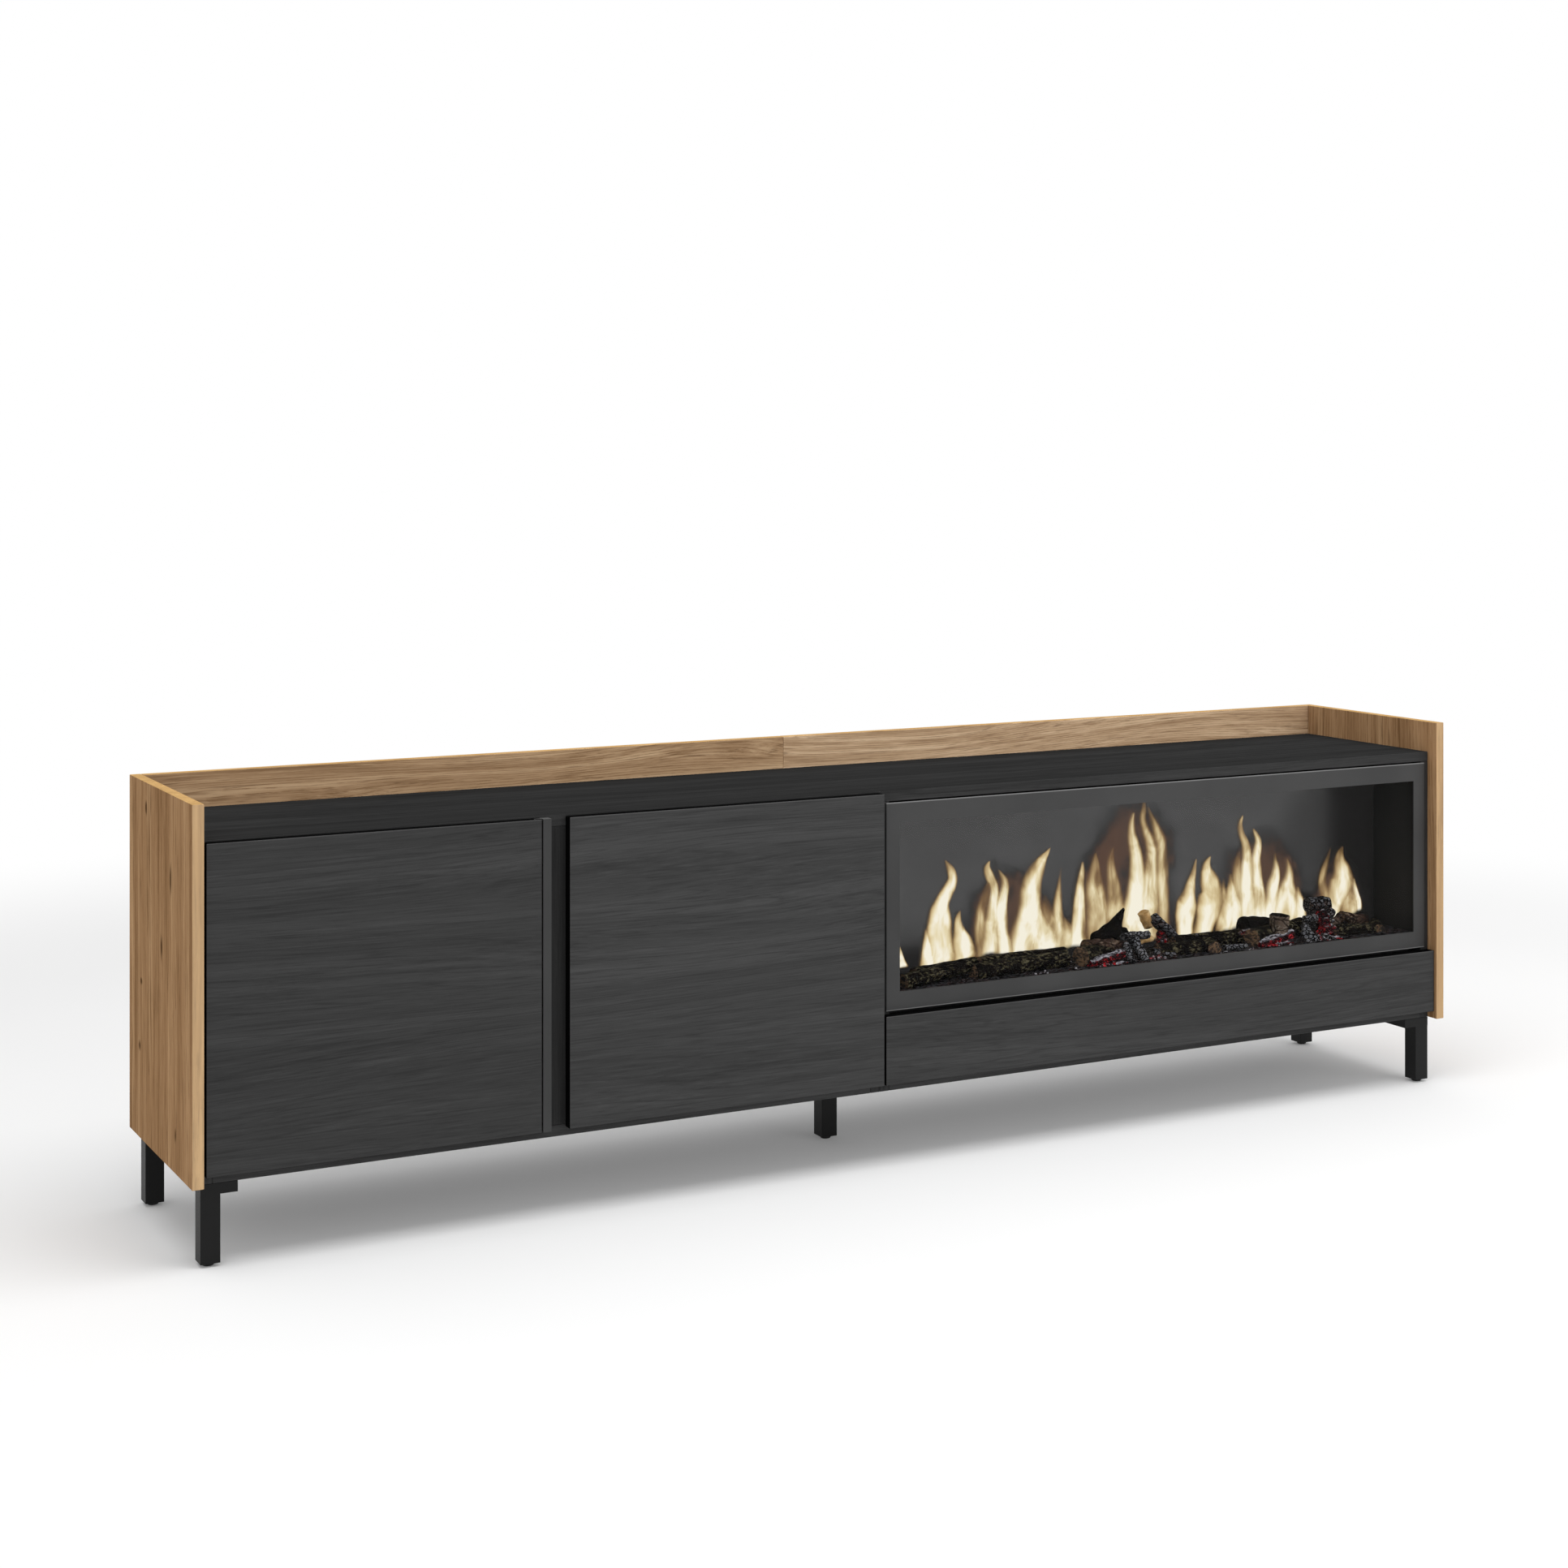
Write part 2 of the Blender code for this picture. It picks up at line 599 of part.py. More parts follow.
def make_grip_profile(door, door_pivot):
    middle = DOOR_THICKNESS / 2
    half_tongue = GRIP_TONGUE_THICKNESS / 2
    tip = -GRIP_SHADOW_GAP - GRIP_TONGUE_LENGTH
    points = (
        (0.0, 0.0),
        (GRIP_FACE, 0.0),
        (GRIP_FACE, DOOR_THICKNESS),
        (0.0, DOOR_THICKNESS),
        (0.0, middle + half_tongue),
        (tip, middle + half_tongue),
        (tip, middle - half_tongue),
        (0.0, middle - half_tongue),
    )
    centre = (GRIP_LEFT, DOOR_FRONT, (DOOR_BOTTOM + DOOR_TOP) / 2)
    height = DOOR_TOP - DOOR_BOTTOM
    outline("left_door_grip_profile", points, height, centre, grip_metal, parent=door_pivot)
    groove_low = (
        LEFT_DOOR_RIGHT - GRIP_TONGUE_LENGTH - TONGUE_FIT,
        DOOR_FRONT + middle - half_tongue - TONGUE_FIT,
        DOOR_BOTTOM - DOOR_THICKNESS,
    )
    groove_high = (
        LEFT_DOOR_RIGHT + DOOR_THICKNESS,
        DOOR_FRONT + middle + half_tongue + TONGUE_FIT,
        DOOR_TOP + DOOR_THICKNESS,
    )
    cut(door, box_cutter("grip_groove", groove_low, groove_high))


def make_drawer():
    slide = pivot("drawer_slide", (0.0, DOOR_FRONT, 0.0))
    box(
        "drawer_front",
        (DRAWER_LEFT, DOOR_FRONT, DOOR_BOTTOM),
        (DRAWER_RIGHT, DOOR_BACK, DRAWER_TOP),
        dark_board,
        BOARD_EDGE,
        parent=slide,
    )
    box_left = OPENING_LEFT + RUNNER_WIDTH
    box_right = OPENING_RIGHT - RUNNER_WIDTH
    box_front = DOOR_BACK + SEAT_GAP
    box_back = box_front + DRAWER_BOX_DEPTH
    box_low = BOTTOM_BOARD_TOP + DRAWER_BOX_RISE
    box_high = box_low + DRAWER_BOX_HEIGHT
    inner_left = box_left + DRAWER_SIDE_THICKNESS
    inner_right = box_right - DRAWER_SIDE_THICKNESS
    for name, low_x, high_x in (
        ("drawer_left_side", box_left, inner_left),
        ("drawer_right_side", inner_right, box_right),
    ):
        low = (low_x, box_front, box_low)
        box(name, low, (high_x, box_back, box_high), drawer_board, BOARD_EDGE, parent=slide)
    across_low = inner_left + SEAT_GAP
    across_high = inner_right - SEAT_GAP
    back_front = box_back - DRAWER_SIDE_THICKNESS
    box(
        "drawer_back",
        (across_low, back_front, box_low),
        (across_high, box_back, box_high),
        drawer_board,
        BOARD_EDGE,
        parent=slide,
    )
    box(
        "drawer_bottom",
        (across_low, box_front, box_low),
        (across_high, back_front - SEAT_GAP, box_low + DRAWER_BOTTOM_THICKNESS),
        back_board,
        parent=slide,
    )
    runner_z = box_low + DRAWER_BOX_HEIGHT / 2
    half = RUNNER_HEIGHT / 2
    inside = half - RUNNER_METAL
    channel = (
        (SEAT_GAP, -half),
        (SEAT_GAP, half),
        (RUNNER_LIP, half),
        (RUNNER_LIP, inside),
        (SEAT_GAP + RUNNER_METAL, inside),
        (SEAT_GAP + RUNNER_METAL, -inside),
        (RUNNER_LIP, -inside),
        (RUNNER_LIP, -half),
    )
    runner_centre_y = box_front + DRAWER_BOX_DEPTH / 2
    length = DRAWER_BOX_DEPTH - 2 * BOARD_THICKNESS
    for side, face_x, inward in (("left", OPENING_LEFT, 1), ("right", OPENING_RIGHT, -1)):
        outline(
            f"drawer_runner_{side}",
            [(inward * u, v) for u, v in channel],
            length,
            (face_x, runner_centre_y, runner_z),
            zinc,
            (math.pi / 2, 0.0, 0.0),
        )
        near = face_x + inward * (RUNNER_WIDTH - SEAT_GAP)
        far = near - inward * RAIL_THICKNESS
        box(
            f"drawer_rail_{side}",
            (min(near, far), runner_centre_y - length / 2, runner_z - inside + RAIL_FIT),
            (max(near, far), runner_centre_y + length / 2, runner_z + inside - RAIL_FIT),
            zinc,
            parent=slide,
        )


def make_fireplace_front():
    bezel = box(
        "fireplace_bezel",
        (BEZEL_LEFT, BEZEL_BACK - BEZEL_THICKNESS, BEZEL_BOTTOM),
        (BEZEL_RIGHT, BEZEL_BACK, BEZEL_TOP),
        black_steel,
        BEZEL_EDGE,
    )
    window_low = (
        BEZEL_LEFT + WINDOW_SIDE_BORDER,
        BEZEL_BACK - 4 * BEZEL_THICKNESS,
        BEZEL_BOTTOM + WINDOW_BOTTOM_BORDER,
    )
    window_high = (
        BEZEL_RIGHT - WINDOW_SIDE_BORDER,
        BEZEL_BACK + 4 * BEZEL_THICKNESS,
        BEZEL_TOP - WINDOW_TOP_BORDER,
    )
    cut(bezel, box_cutter("window", window_low, window_high))
    inside = CASING_WALL + SEAT_GAP
    box(
        "fireplace_glass",
        (CASING_LEFT + inside, CASING_FRONT, CASING_BOTTOM + inside),
        (CASING_RIGHT - inside, GLASS_BACK, CASING_TOP - inside),
        glass,
        GLASS_EDGE,
        1,
    )


def make_casing():
    casing = box(
        "fireplace_casing",
        (CASING_LEFT, CASING_FRONT, CASING_BOTTOM),
        (CASING_RIGHT, CASING_BACK, CASING_TOP),
        matt_black_steel,
    )
    hollow_low = (
        CASING_LEFT + CASING_WALL,
        CASING_FRONT - BOARD_THICKNESS,
        HEARTH_FLOOR,
    )
    hollow_high = (
        CASING_RIGHT - CASING_WALL,
        CASING_BACK - CASING_WALL,
        CASING_TOP - CASING_WALL,
    )
    cut(casing, box_cutter("firebox", hollow_low, hollow_high))
    half_width = INLET_WIDTH / 2 + SEAT_GAP
    half_height = INLET_HEIGHT / 2 + SEAT_GAP
    inlet_low = (INLET_CENTRE - half_width, CASING_BACK - 2 * CASING_WALL, INLET_Z - half_height)
    inlet_high = (INLET_CENTRE + half_width, CASING_BACK + CASING_WALL, INLET_Z + half_height)
    cut(casing, box_cutter("inlet_hole", inlet_low, inlet_high))


def make_fire_bed():
    left = CASING_LEFT + CASING_WALL + BED_END_GAP
    right = CASING_RIGHT - CASING_WALL - BED_END_GAP
    floor = HEARTH_FLOOR + SEAT_GAP
    top = floor + BED_HEIGHT
    bed = box("log_bed", (left, BED_FRONT, floor), (right, BED_BACK, top), charred_wood)
    for number, (start, end, thickness) in enumerate(LOG_LAYOUT):
        radius = thickness * LOG_RADIUS
        first, second = (
            Vector(
                (
                    left + along * (right - left),
                    BED_FRONT + across * BED_DEPTH,
                    top + rise * LOG_RADIUS,
                )
            )
            for along, across, rise in (start, end)
        )
        log = cylinder(
            f"log_{number}",
            radius,
            (second - first).length,
            (first + second) / 2,
            second - first,
            LOG_SIDES,
            radius * LOG_TAPER,
        )
        join(bed, cutter(log))
    inside = CASING_WALL + SEAT_GAP
    box(
        "flame_screen",
        (CASING_LEFT + inside, SCREEN_FRONT, floor),
        (CASING_RIGHT - inside, SCREEN_BACK, CASING_TOP - inside),
        smoked_acrylic,
    )
    led_low = SCREEN_BACK + LED_BAR_STANDOFF
    box(
        "led_bar",
        (left, led_low, floor),
        (right, led_low + LED_BAR_DEPTH, floor + LED_BAR_HEIGHT),
        led_white,
    )


def make_spindle():
    floor = HEARTH_FLOOR + SEAT_GAP
    left_end = CASING_LEFT + CASING_WALL + SEAT_GAP + BEARING_WIDTH
    motor_face = CASING_RIGHT - CASING_WALL - SEAT_GAP - MOTOR_LENGTH
    rod_left = left_end + SEAT_GAP
    rod_right = motor_face - SEAT_GAP
    middle = (rod_left + rod_right) / 2
    axis_point = (middle, SPINDLE_DEPTH, SPINDLE_HEIGHT)
    spin = pivot("spindle_axis", axis_point)
    along = (1, 0, 0)
    rod = cylinder("flicker_spindle", ROD_RADIUS, rod_right - rod_left, axis_point, along, ROD_SIDES)
    place(rod, parts, bright_foil, spin)
    reach = rod_right - rod_left + 2 * JOURNAL_LENGTH
    journals = cylinder("journals", JOURNAL_RADIUS, reach, axis_point, along, JOURNAL_SIDES)
    join(rod, cutter(journals))
    count = int((rod_right - rod_left - PADDLE_LENGTH) / PADDLE_PITCH) + 1
    first = middle - PADDLE_PITCH * (count - 1) / 2
    for number in range(count):
        work = bmesh.new()
        bmesh.ops.create_cube(work, size=1.0)
        bmesh.ops.scale(work, vec=(PADDLE_LENGTH, PADDLE_WIDTH, PADDLE_THICKNESS), verts=work.verts)
        place_x = first + PADDLE_PITCH * number
        paddle = mesh_object(f"paddle_{number}", work, (place_x, SPINDLE_DEPTH, SPINDLE_HEIGHT))
        paddle.rotation_euler = (PADDLE_TURN * number, 0.0, 0.0)
        join(rod, cutter(paddle))
    hole_radius = JOURNAL_RADIUS + JOURNAL_FIT
    bearing_left = left_end - BEARING_WIDTH
    bearing_low = (bearing_left, SPINDLE_DEPTH - BEARING_DEPTH / 2, floor)
    bearing_high = (left_end, SPINDLE_DEPTH + BEARING_DEPTH / 2, SPINDLE_HEIGHT + BEARING_HEAD)
    bearing = box("spindle_bearing", bearing_low, bearing_high, matt_black_plastic)
    hole_reach = 2 * (JOURNAL_LENGTH + 2 * SEAT_GAP)
    axis_left = (left_end, SPINDLE_DEPTH, SPINDLE_HEIGHT)
    hole = cylinder("bearing_hole", hole_radius, hole_reach, axis_left, along, JOURNAL_SIDES)
    cut(bearing, cutter(hole))
    motor_centre = (motor_face + MOTOR_LENGTH / 2, SPINDLE_DEPTH, SPINDLE_HEIGHT)
    motor = cylinder("spindle_motor", MOTOR_RADIUS, MOTOR_LENGTH, motor_centre, along, MOTOR_SIDES)
    place(motor, parts, zinc)
    stand_low = (motor_face, SPINDLE_DEPTH - MOTOR_RADIUS / 2, floor)
    stand_high = (motor_face + MOTOR_BRACKET, SPINDLE_DEPTH + MOTOR_RADIUS / 2, SPINDLE_HEIGHT)
    join(motor, box_cutter("motor_stand", stand_low, stand_high))
    axis_right = (motor_face, SPINDLE_DEPTH, SPINDLE_HEIGHT)
    hole = cylinder("motor_hole", hole_radius, hole_reach, axis_right, along, JOURNAL_SIDES)
    cut(motor, cutter(hole))


def make_electrics():
    floor = HEARTH_FLOOR + SEAT_GAP
    high_y = CASING_BACK - CASING_WALL - CONTROL_REAR_GAP
    high_x = CASING_RIGHT - CONTROL_END_DISTANCE
    low = (high_x - CONTROL_LENGTH, high_y - CONTROL_DEPTH, floor)
    high = (high_x, high_y, floor + CONTROL_HEIGHT)
    box("control_unit", low, high, matt_black_plastic, BOARD_EDGE)
    inner_y = CASING_BACK - INLET_INSIDE
    outer_y = CASING_BACK + INLET_STANDOUT
    inlet = box(
        "power_inlet",
        (INLET_CENTRE - INLET_WIDTH / 2, inner_y, INLET_Z - INLET_HEIGHT / 2),
        (INLET_CENTRE + INLET_WIDTH / 2, outer_y, INLET_Z + INLET_HEIGHT / 2),
        matt_black_plastic,
    )
    flange_low = (
        INLET_CENTRE - INLET_WIDTH / 2 - INLET_FLANGE,
        CASING_BACK + SEAT_GAP,
        INLET_Z - INLET_HEIGHT / 2 - INLET_FLANGE,
    )
    flange_high = (
        INLET_CENTRE + INLET_WIDTH / 2 + INLET_FLANGE,
        outer_y,
        INLET_Z + INLET_HEIGHT / 2 + INLET_FLANGE,
    )
    join(inlet, box_cutter("inlet_flange", flange_low, flange_high))
    socket_low = (
        INLET_CENTRE - INLET_WIDTH / 2 + INLET_WALL,
        outer_y - INLET_SOCKET_DEPTH,
        INLET_Z - INLET_HEIGHT / 2 + INLET_WALL,
    )
    socket_high = (
        INLET_CENTRE + INLET_WIDTH / 2 - INLET_WALL,
        outer_y + INLET_SOCKET_DEPTH,
        INLET_Z + INLET_HEIGHT / 2 - INLET_WALL,
    )
    cut(inlet, box_cutter("inlet_socket", socket_low, socket_high))
    pin_y = outer_y - INLET_SOCKET_DEPTH
    reach = 2 * (INLET_SOCKET_DEPTH - INLET_WALL)
    for side, pin_x in (
        ("left", INLET_CENTRE - INLET_PIN_OFFSET),
        ("right", INLET_CENTRE + INLET_PIN_OFFSET),
    ):
        pin = cylinder(
            f"inlet_pin_{side}",
            INLET_PIN_RADIUS,
            reach,
            (pin_x, pin_y, INLET_Z),
            (0, 1, 0),
            INLET_PIN_SIDES,
        )
        join(inlet, cutter(pin))


def make_leg(name, tube_low, bracket_low, bracket_high, screws):
    tube_bottom = FOOT_PAD + SEAT_GAP
    tube_high = (tube_low[0] + LEG_SIDE, tube_low[1] + LEG_SIDE)
    bracket_top = CARCASS_BOTTOM - SEAT_GAP
    leg = box(
        f"{name}_leg",
        (*tube_low, tube_bottom),
        (*tube_high, bracket_top),
        leg_steel,
        BOARD_EDGE,
    )
    plate_low = (*bracket_low, bracket_top - BRACKET_THICKNESS)
    join(leg, box_cutter(f"{name}_bracket", plate_low, (*bracket_high, bracket_top)))
    centre_x = tube_low[0] + LEG_SIDE / 2
    centre_y = tube_low[1] + LEG_SIDE / 2
    reach = 2 * (FOOT_STEM_LENGTH + STEM_HOLE_SPARE)
    hole = cylinder(
        f"{name}_stem_hole",
        FOOT_STEM_RADIUS + STEM_FIT,
        reach,
        (centre_x, centre_y, tube_bottom),
        (0, 0, 1),
        STEM_HOLE_SIDES,
    )
    cut(leg, cutter(hole))
    for number, (x, y) in enumerate(screws):
        screw = cylinder(
            f"{name}_screw_hole_{number}",
            BRACKET_SCREW_RADIUS,
            4 * BRACKET_THICKNESS,
            (x, y, bracket_top),
            (0, 0, 1),
            BRACKET_SCREW_SIDES,
        )
        cut(leg, cutter(screw))
    stem_top = FOOT_PAD + SEAT_GAP + FOOT_STEM_LENGTH
    profile = (
        (0.0, stem_top),
        (FOOT_STEM_RADIUS, stem_top),
        (FOOT_STEM_RADIUS, FOOT_PAD),
        (FOOT_RADIUS - FOOT_CHAMFER, FOOT_PAD),
        (FOOT_RADIUS, FOOT_PAD - FOOT_CHAMFER),
        (FOOT_RADIUS, FOOT_CHAMFER),
        (FOOT_RADIUS - FOOT_CHAMFER, 0.0),
        (0.0, 0.0),
    )
    turned(f"{name}_foot", profile, (centre_x, centre_y, 0.0), foot_plastic, FOOT_SIDES)


def make_legs():
    spare = BRACKET_SIDE - LEG_SIDE
    for name, left, front in (
        ("front_left", True, True),
        ("rear_left", True, False),
        ("front_right", False, True),
        ("rear_right", False, False),
    ):
        plate_x = CARCASS_LEFT if left else CARCASS_RIGHT - BRACKET_SIDE
        plate_y = CARCASS_FRONT if front else BACK - BRACKET_SIDE
        tube_x = plate_x if left else plate_x + spare
        tube_y = plate_y if front else plate_y + spare
        free_x = plate_x + BRACKET_SIDE - spare / 2 if left else plate_x + spare / 2
        free_y = plate_y + BRACKET_SIDE - spare / 2 if front else plate_y + spare / 2
        screws = (
            (free_x, tube_y + LEG_SIDE / 2),
            (tube_x + LEG_SIDE / 2, free_y),
        )
        plate_high = (plate_x + BRACKET_SIDE, plate_y + BRACKET_SIDE)
        make_leg(name, (tube_x, tube_y), (plate_x, plate_y), plate_high, screws)
    plate_x = LEFT_MODULE_RIGHT - BRACKET_SIDE / 2
    plate_y = MIDDLE_LEG_DEPTH - BRACKET_SIDE / 2
    edge = spare / 4
    screws = (
        (plate_x + edge, plate_y + edge),
        (plate_x + BRACKET_SIDE - edge, plate_y + BRACKET_SIDE - edge),
    )
    make_leg(
        "middle",
        (plate_x + spare / 2, plate_y + spare / 2),
        (plate_x, plate_y),
        (plate_x + BRACKET_SIDE, plate_y + BRACKET_SIDE),
        screws,
    )


for old_object in list(bpy.data.objects):
    bpy.data.objects.remove(old_object, do_unlink=True)

parts = make_collection("tv_stand")
cutters = make_collection("tv_stand_cutters")

oak = make_material("oak board", (0.36, 0.22, 0.11), 0.55)
dark_board = make_material("black grained board", (0.055, 0.055, 0.056), 0.6)
back_board = make_material("black hardboard", (0.04, 0.04, 0.04), 0.75)
drawer_board = make_material("grey drawer board", (0.20, 0.20, 0.21), 0.6)
grip_metal = make_material("black grip profile", (0.05, 0.05, 0.05), 0.4)
leg_steel = make_material("black leg steel", (0.02, 0.02, 0.02), 0.45, 0.3)
foot_plastic = make_material("foot plastic", (0.02, 0.02, 0.02), 0.6)
nickel = make_material("nickelled steel", (0.55, 0.55, 0.55), 0.3, 1.0)
zinc = make_material("zinc-plated steel", (0.50, 0.52, 0.54), 0.4, 1.0)
black_steel = make_material("black painted bezel", (0.06, 0.06, 0.06), 0.35)
matt_black_steel = make_material("matt black casing", (0.012, 0.012, 0.012), 0.8)
glass = make_material("clear glass", (0.9, 0.92, 0.92), 0.05, 0.0, 0.25)
charred_wood = make_material("charred log set", (0.07, 0.035, 0.02), 0.9)
smoked_acrylic = make_material("smoked acrylic", (0.05, 0.045, 0.04), 0.2, 0.0, 0.8)
led_white = make_material("light bar", (0.95, 0.75, 0.45), 0.5)
bright_foil = make_material("bright reflector", (0.85, 0.8, 0.7), 0.2, 1.0)
matt_black_plastic = make_material("matt black plastic", (0.02, 0.02, 0.02), 0.6)

make_oak_shell()
left_outer_face, left_inner_face = make_left_module()
make_right_module()
make_doors(left_outer_face, left_inner_face)
make_drawer()
make_fireplace_front()
make_casing()
make_fire_bed()
make_spindle()
make_electrics()
make_legs()
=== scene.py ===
import math
import random

import bpy
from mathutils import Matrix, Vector


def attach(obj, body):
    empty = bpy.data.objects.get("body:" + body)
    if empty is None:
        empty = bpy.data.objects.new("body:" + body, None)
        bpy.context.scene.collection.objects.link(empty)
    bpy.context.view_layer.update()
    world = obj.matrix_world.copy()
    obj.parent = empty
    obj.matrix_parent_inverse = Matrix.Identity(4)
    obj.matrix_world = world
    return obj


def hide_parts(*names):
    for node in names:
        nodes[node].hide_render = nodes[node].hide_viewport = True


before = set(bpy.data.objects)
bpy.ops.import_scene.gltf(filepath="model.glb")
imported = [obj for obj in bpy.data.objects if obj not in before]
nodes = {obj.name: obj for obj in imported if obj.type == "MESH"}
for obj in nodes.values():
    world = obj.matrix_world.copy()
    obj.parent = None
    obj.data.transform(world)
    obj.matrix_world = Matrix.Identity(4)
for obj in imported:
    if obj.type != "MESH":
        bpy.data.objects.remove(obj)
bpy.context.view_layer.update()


# small helpers for node trees

def hexColour(text):
    channels = [int(text[i:i + 2], 16) / 255 for i in (1, 3, 5)]
    linear = [c / 12.92 if c <= 0.04045 else ((c + 0.055) / 1.055) ** 2.4 for c in channels]
    return (*linear, 1.0)


def dimmed(text, share):
    return (*(c * share for c in hexColour(text)[:3]), 1.0)


def picked(sockets, key):
    return sockets[key] if isinstance(key, int) else next(s for s in sockets if s.enabled and s.name == key)


class Wire:
    # an output of a node: a sum written with wires adds the Math nodes for it
    def __init__(self, socket):
        self.socket = socket
        self.tree = socket.id_data

    def beside(self, name):
        return Wire(picked(self.socket.node.outputs, name))

    def part(self, axis):
        return addNode(self.tree, "ShaderNodeSeparateXYZ", {0: self}, axis)

    def then(self, kind, inputs=None, out=0, **settings):
        # the next Geometry Nodes node, with this wire in its first socket
        return addNode(self.tree, "GeometryNode" + kind, {0: self, **(inputs or {})}, out, **settings)

    def __add__(self, other):
        return maths("ADD", self, other)

    def __sub__(self, other):
        return maths("SUBTRACT", self, other)

    def __rsub__(self, other):
        return maths("SUBTRACT", other, self)

    def __mul__(self, other):
        return maths("MULTIPLY", self, other)

    def __truediv__(self, other):
        return maths("DIVIDE", self, other)

    def __lt__(self, other):
        return maths("LESS_THAN", self, other)

    def __gt__(self, other):
        return maths("GREATER_THAN", self, other)

    def __abs__(self):
        return maths("ABSOLUTE", self)


def plug(socket, value):
    if isinstance(value, Wire):
        socket.id_data.links.new(value.socket, socket)
    elif isinstance(value, str) and value.startswith("#"):
        socket.default_value = hexColour(value)
    else:
        socket.default_value = value


def addNode(tree, kind, inputs=None, out=0, **settings):
    node = tree.nodes.new(kind)
    for name, value in settings.items():
        setattr(node, name, value)
    for key, value in (inputs or {}).items():
        plug(picked(node.inputs, key), value)
    return Wire(picked(node.outputs, out)) if node.outputs else None


def feed(shader, **inputs):
    for key, value in inputs.items():
        plug(shader.inputs[key.replace("_", " ")], value)


def newFinish(name, **inputs):
    material = bpy.data.materials.new(name)
    material.use_nodes = True
    shader = material.node_tree.nodes["Principled BSDF"]
    feed(shader, **inputs)
    return material, shader, addNode(material.node_tree, "ShaderNodeTexCoord", out="Object")


def treeOf(*values):
    return next(value.tree for value in values if isinstance(value, Wire))


def maths(operation, first, second=0.0, clamp=False):
    return addNode(
        treeOf(first, second), "ShaderNodeMath", {0: first, 1: second}, operation=operation, use_clamp=clamp)


def blendColour(factor, first, second, mode="MIX"):
    return addNode(
        treeOf(factor, first, second), "ShaderNodeMix", {0: factor, 6: first, 7: second}, 2,
        data_type="RGBA", blend_type=mode)


def tinted(colour, tint):
    return blendColour(1.0, colour, (*tint, 1.0), "MULTIPLY")


def glazed(base, colour, pattern, low, high, share):
    # lays a colour over the base where the pattern goes from low to high
    return blendColour(remap(pattern, low, high, 0.0, share), base, colour)


def ramped(value, stops):
    ramp = addNode(value.tree, "ShaderNodeValToRGB", {0: value})
    points = ramp.socket.node.color_ramp.elements
    while len(points) < len(stops):
        points.new(0.5)
    for point, (position, colour) in zip(points, stops):
        point.position = position
        point.color = hexColour(colour) if isinstance(colour, str) else (colour, colour, colour, 1.0)
    return ramp


def remap(value, low, high, newLow=0.0, newHigh=1.0):
    return addNode(
        value.tree, "ShaderNodeMapRange", {0: value, 1: low, 2: high, 3: newLow, 4: newHigh},
        interpolation_type="SMOOTHSTEP")


def stretched(place, scale, shift=(0.0, 0.0, 0.0)):
    return addNode(place.tree, "ShaderNodeMapping", {"Vector": place, "Location": shift, "Scale": scale})


def noiseOf(place, scale, detail=3.0, roughness=0.5, distortion=0.0, shift=(0.0, 0.0, 0.0), out="Fac"):
    # scale: lumps in a metre, one number or one for each axis
    if isinstance(scale, tuple):
        place, scale = stretched(place, scale, shift), 1.0
    return addNode(place.tree, "ShaderNodeTexNoise", {
        "Vector": place, "Scale": scale, "Detail": detail, "Roughness": roughness,
        "Distortion": distortion}, out)


def vectorOf(tree, x=0.0, y=0.0, z=0.0):
    return addNode(tree, "ShaderNodeCombineXYZ", {0: x, 1: y, 2: z})


def vectorMaths(operation, first, second=(0.0, 0.0, 0.0), out=0):
    return addNode(first.tree, "ShaderNodeVectorMath", {0: first, 1: second}, out, operation=operation)


def lengthOf(vector):
    return vectorMaths("LENGTH", vector, out="Value")


def scaled(vector, size):
    return addNode(vector.tree, "ShaderNodeVectorMath", {0: vector, "Scale": size}, operation="SCALE")


def attribute(tree, name, out="Fac"):
    return addNode(tree, "ShaderNodeAttribute", out=out, attribute_name=name)


def upwardOf(tree):
    return addNode(tree, "ShaderNodeNewGeometry", out="Normal").part("Z")


def addBump(shader, height, strength, distance):
    feed(shader, Normal=addNode(
        height.tree, "ShaderNodeBump", {"Height": height, "Strength": strength, "Distance": distance}))


def grainPlace(place, axis):
    # turns the pattern so that its first coordinate runs along the grain
    order = {"x": "XZY", "y": "YXZ", "z": "ZYX"}[axis]
    return vectorOf(place.tree, *(place.part(letter) for letter in order))


def facing(tree, axis, sign):
    # 1 on the faces that look along an axis of the closed stand, also when a door has swung
    normal = addNode(tree, "ShaderNodeNewGeometry", out="True Normal")
    own = addNode(tree, "ShaderNodeVectorTransform", {0: normal}, vector_type="NORMAL",
                  convert_from="WORLD", convert_to="OBJECT")
    return own.part(axis) * float(sign) > 0.9


def reopened(material):
    # the shader of a finish that is worked on further, its colour so far and the place
    shader = material.node_tree.nodes["Principled BSDF"]
    plain = Wire(shader.inputs["Base Color"].links[0].from_socket)
    return shader, plain, addNode(material.node_tree, "ShaderNodeTexCoord", out="Object")


# wood

def figured(along, reach, width, fold, shift):
    # bends the pattern across the grain, so that its lines run in long arches
    bend = noiseOf(along, (1 / reach, 1 / width, 1 / width), 1.5, 0.4, shift=shift)
    wave = (bend - 0.5) * fold
    return vectorMaths("ADD", along, vectorOf(along.tree, 0.0, wave, wave))


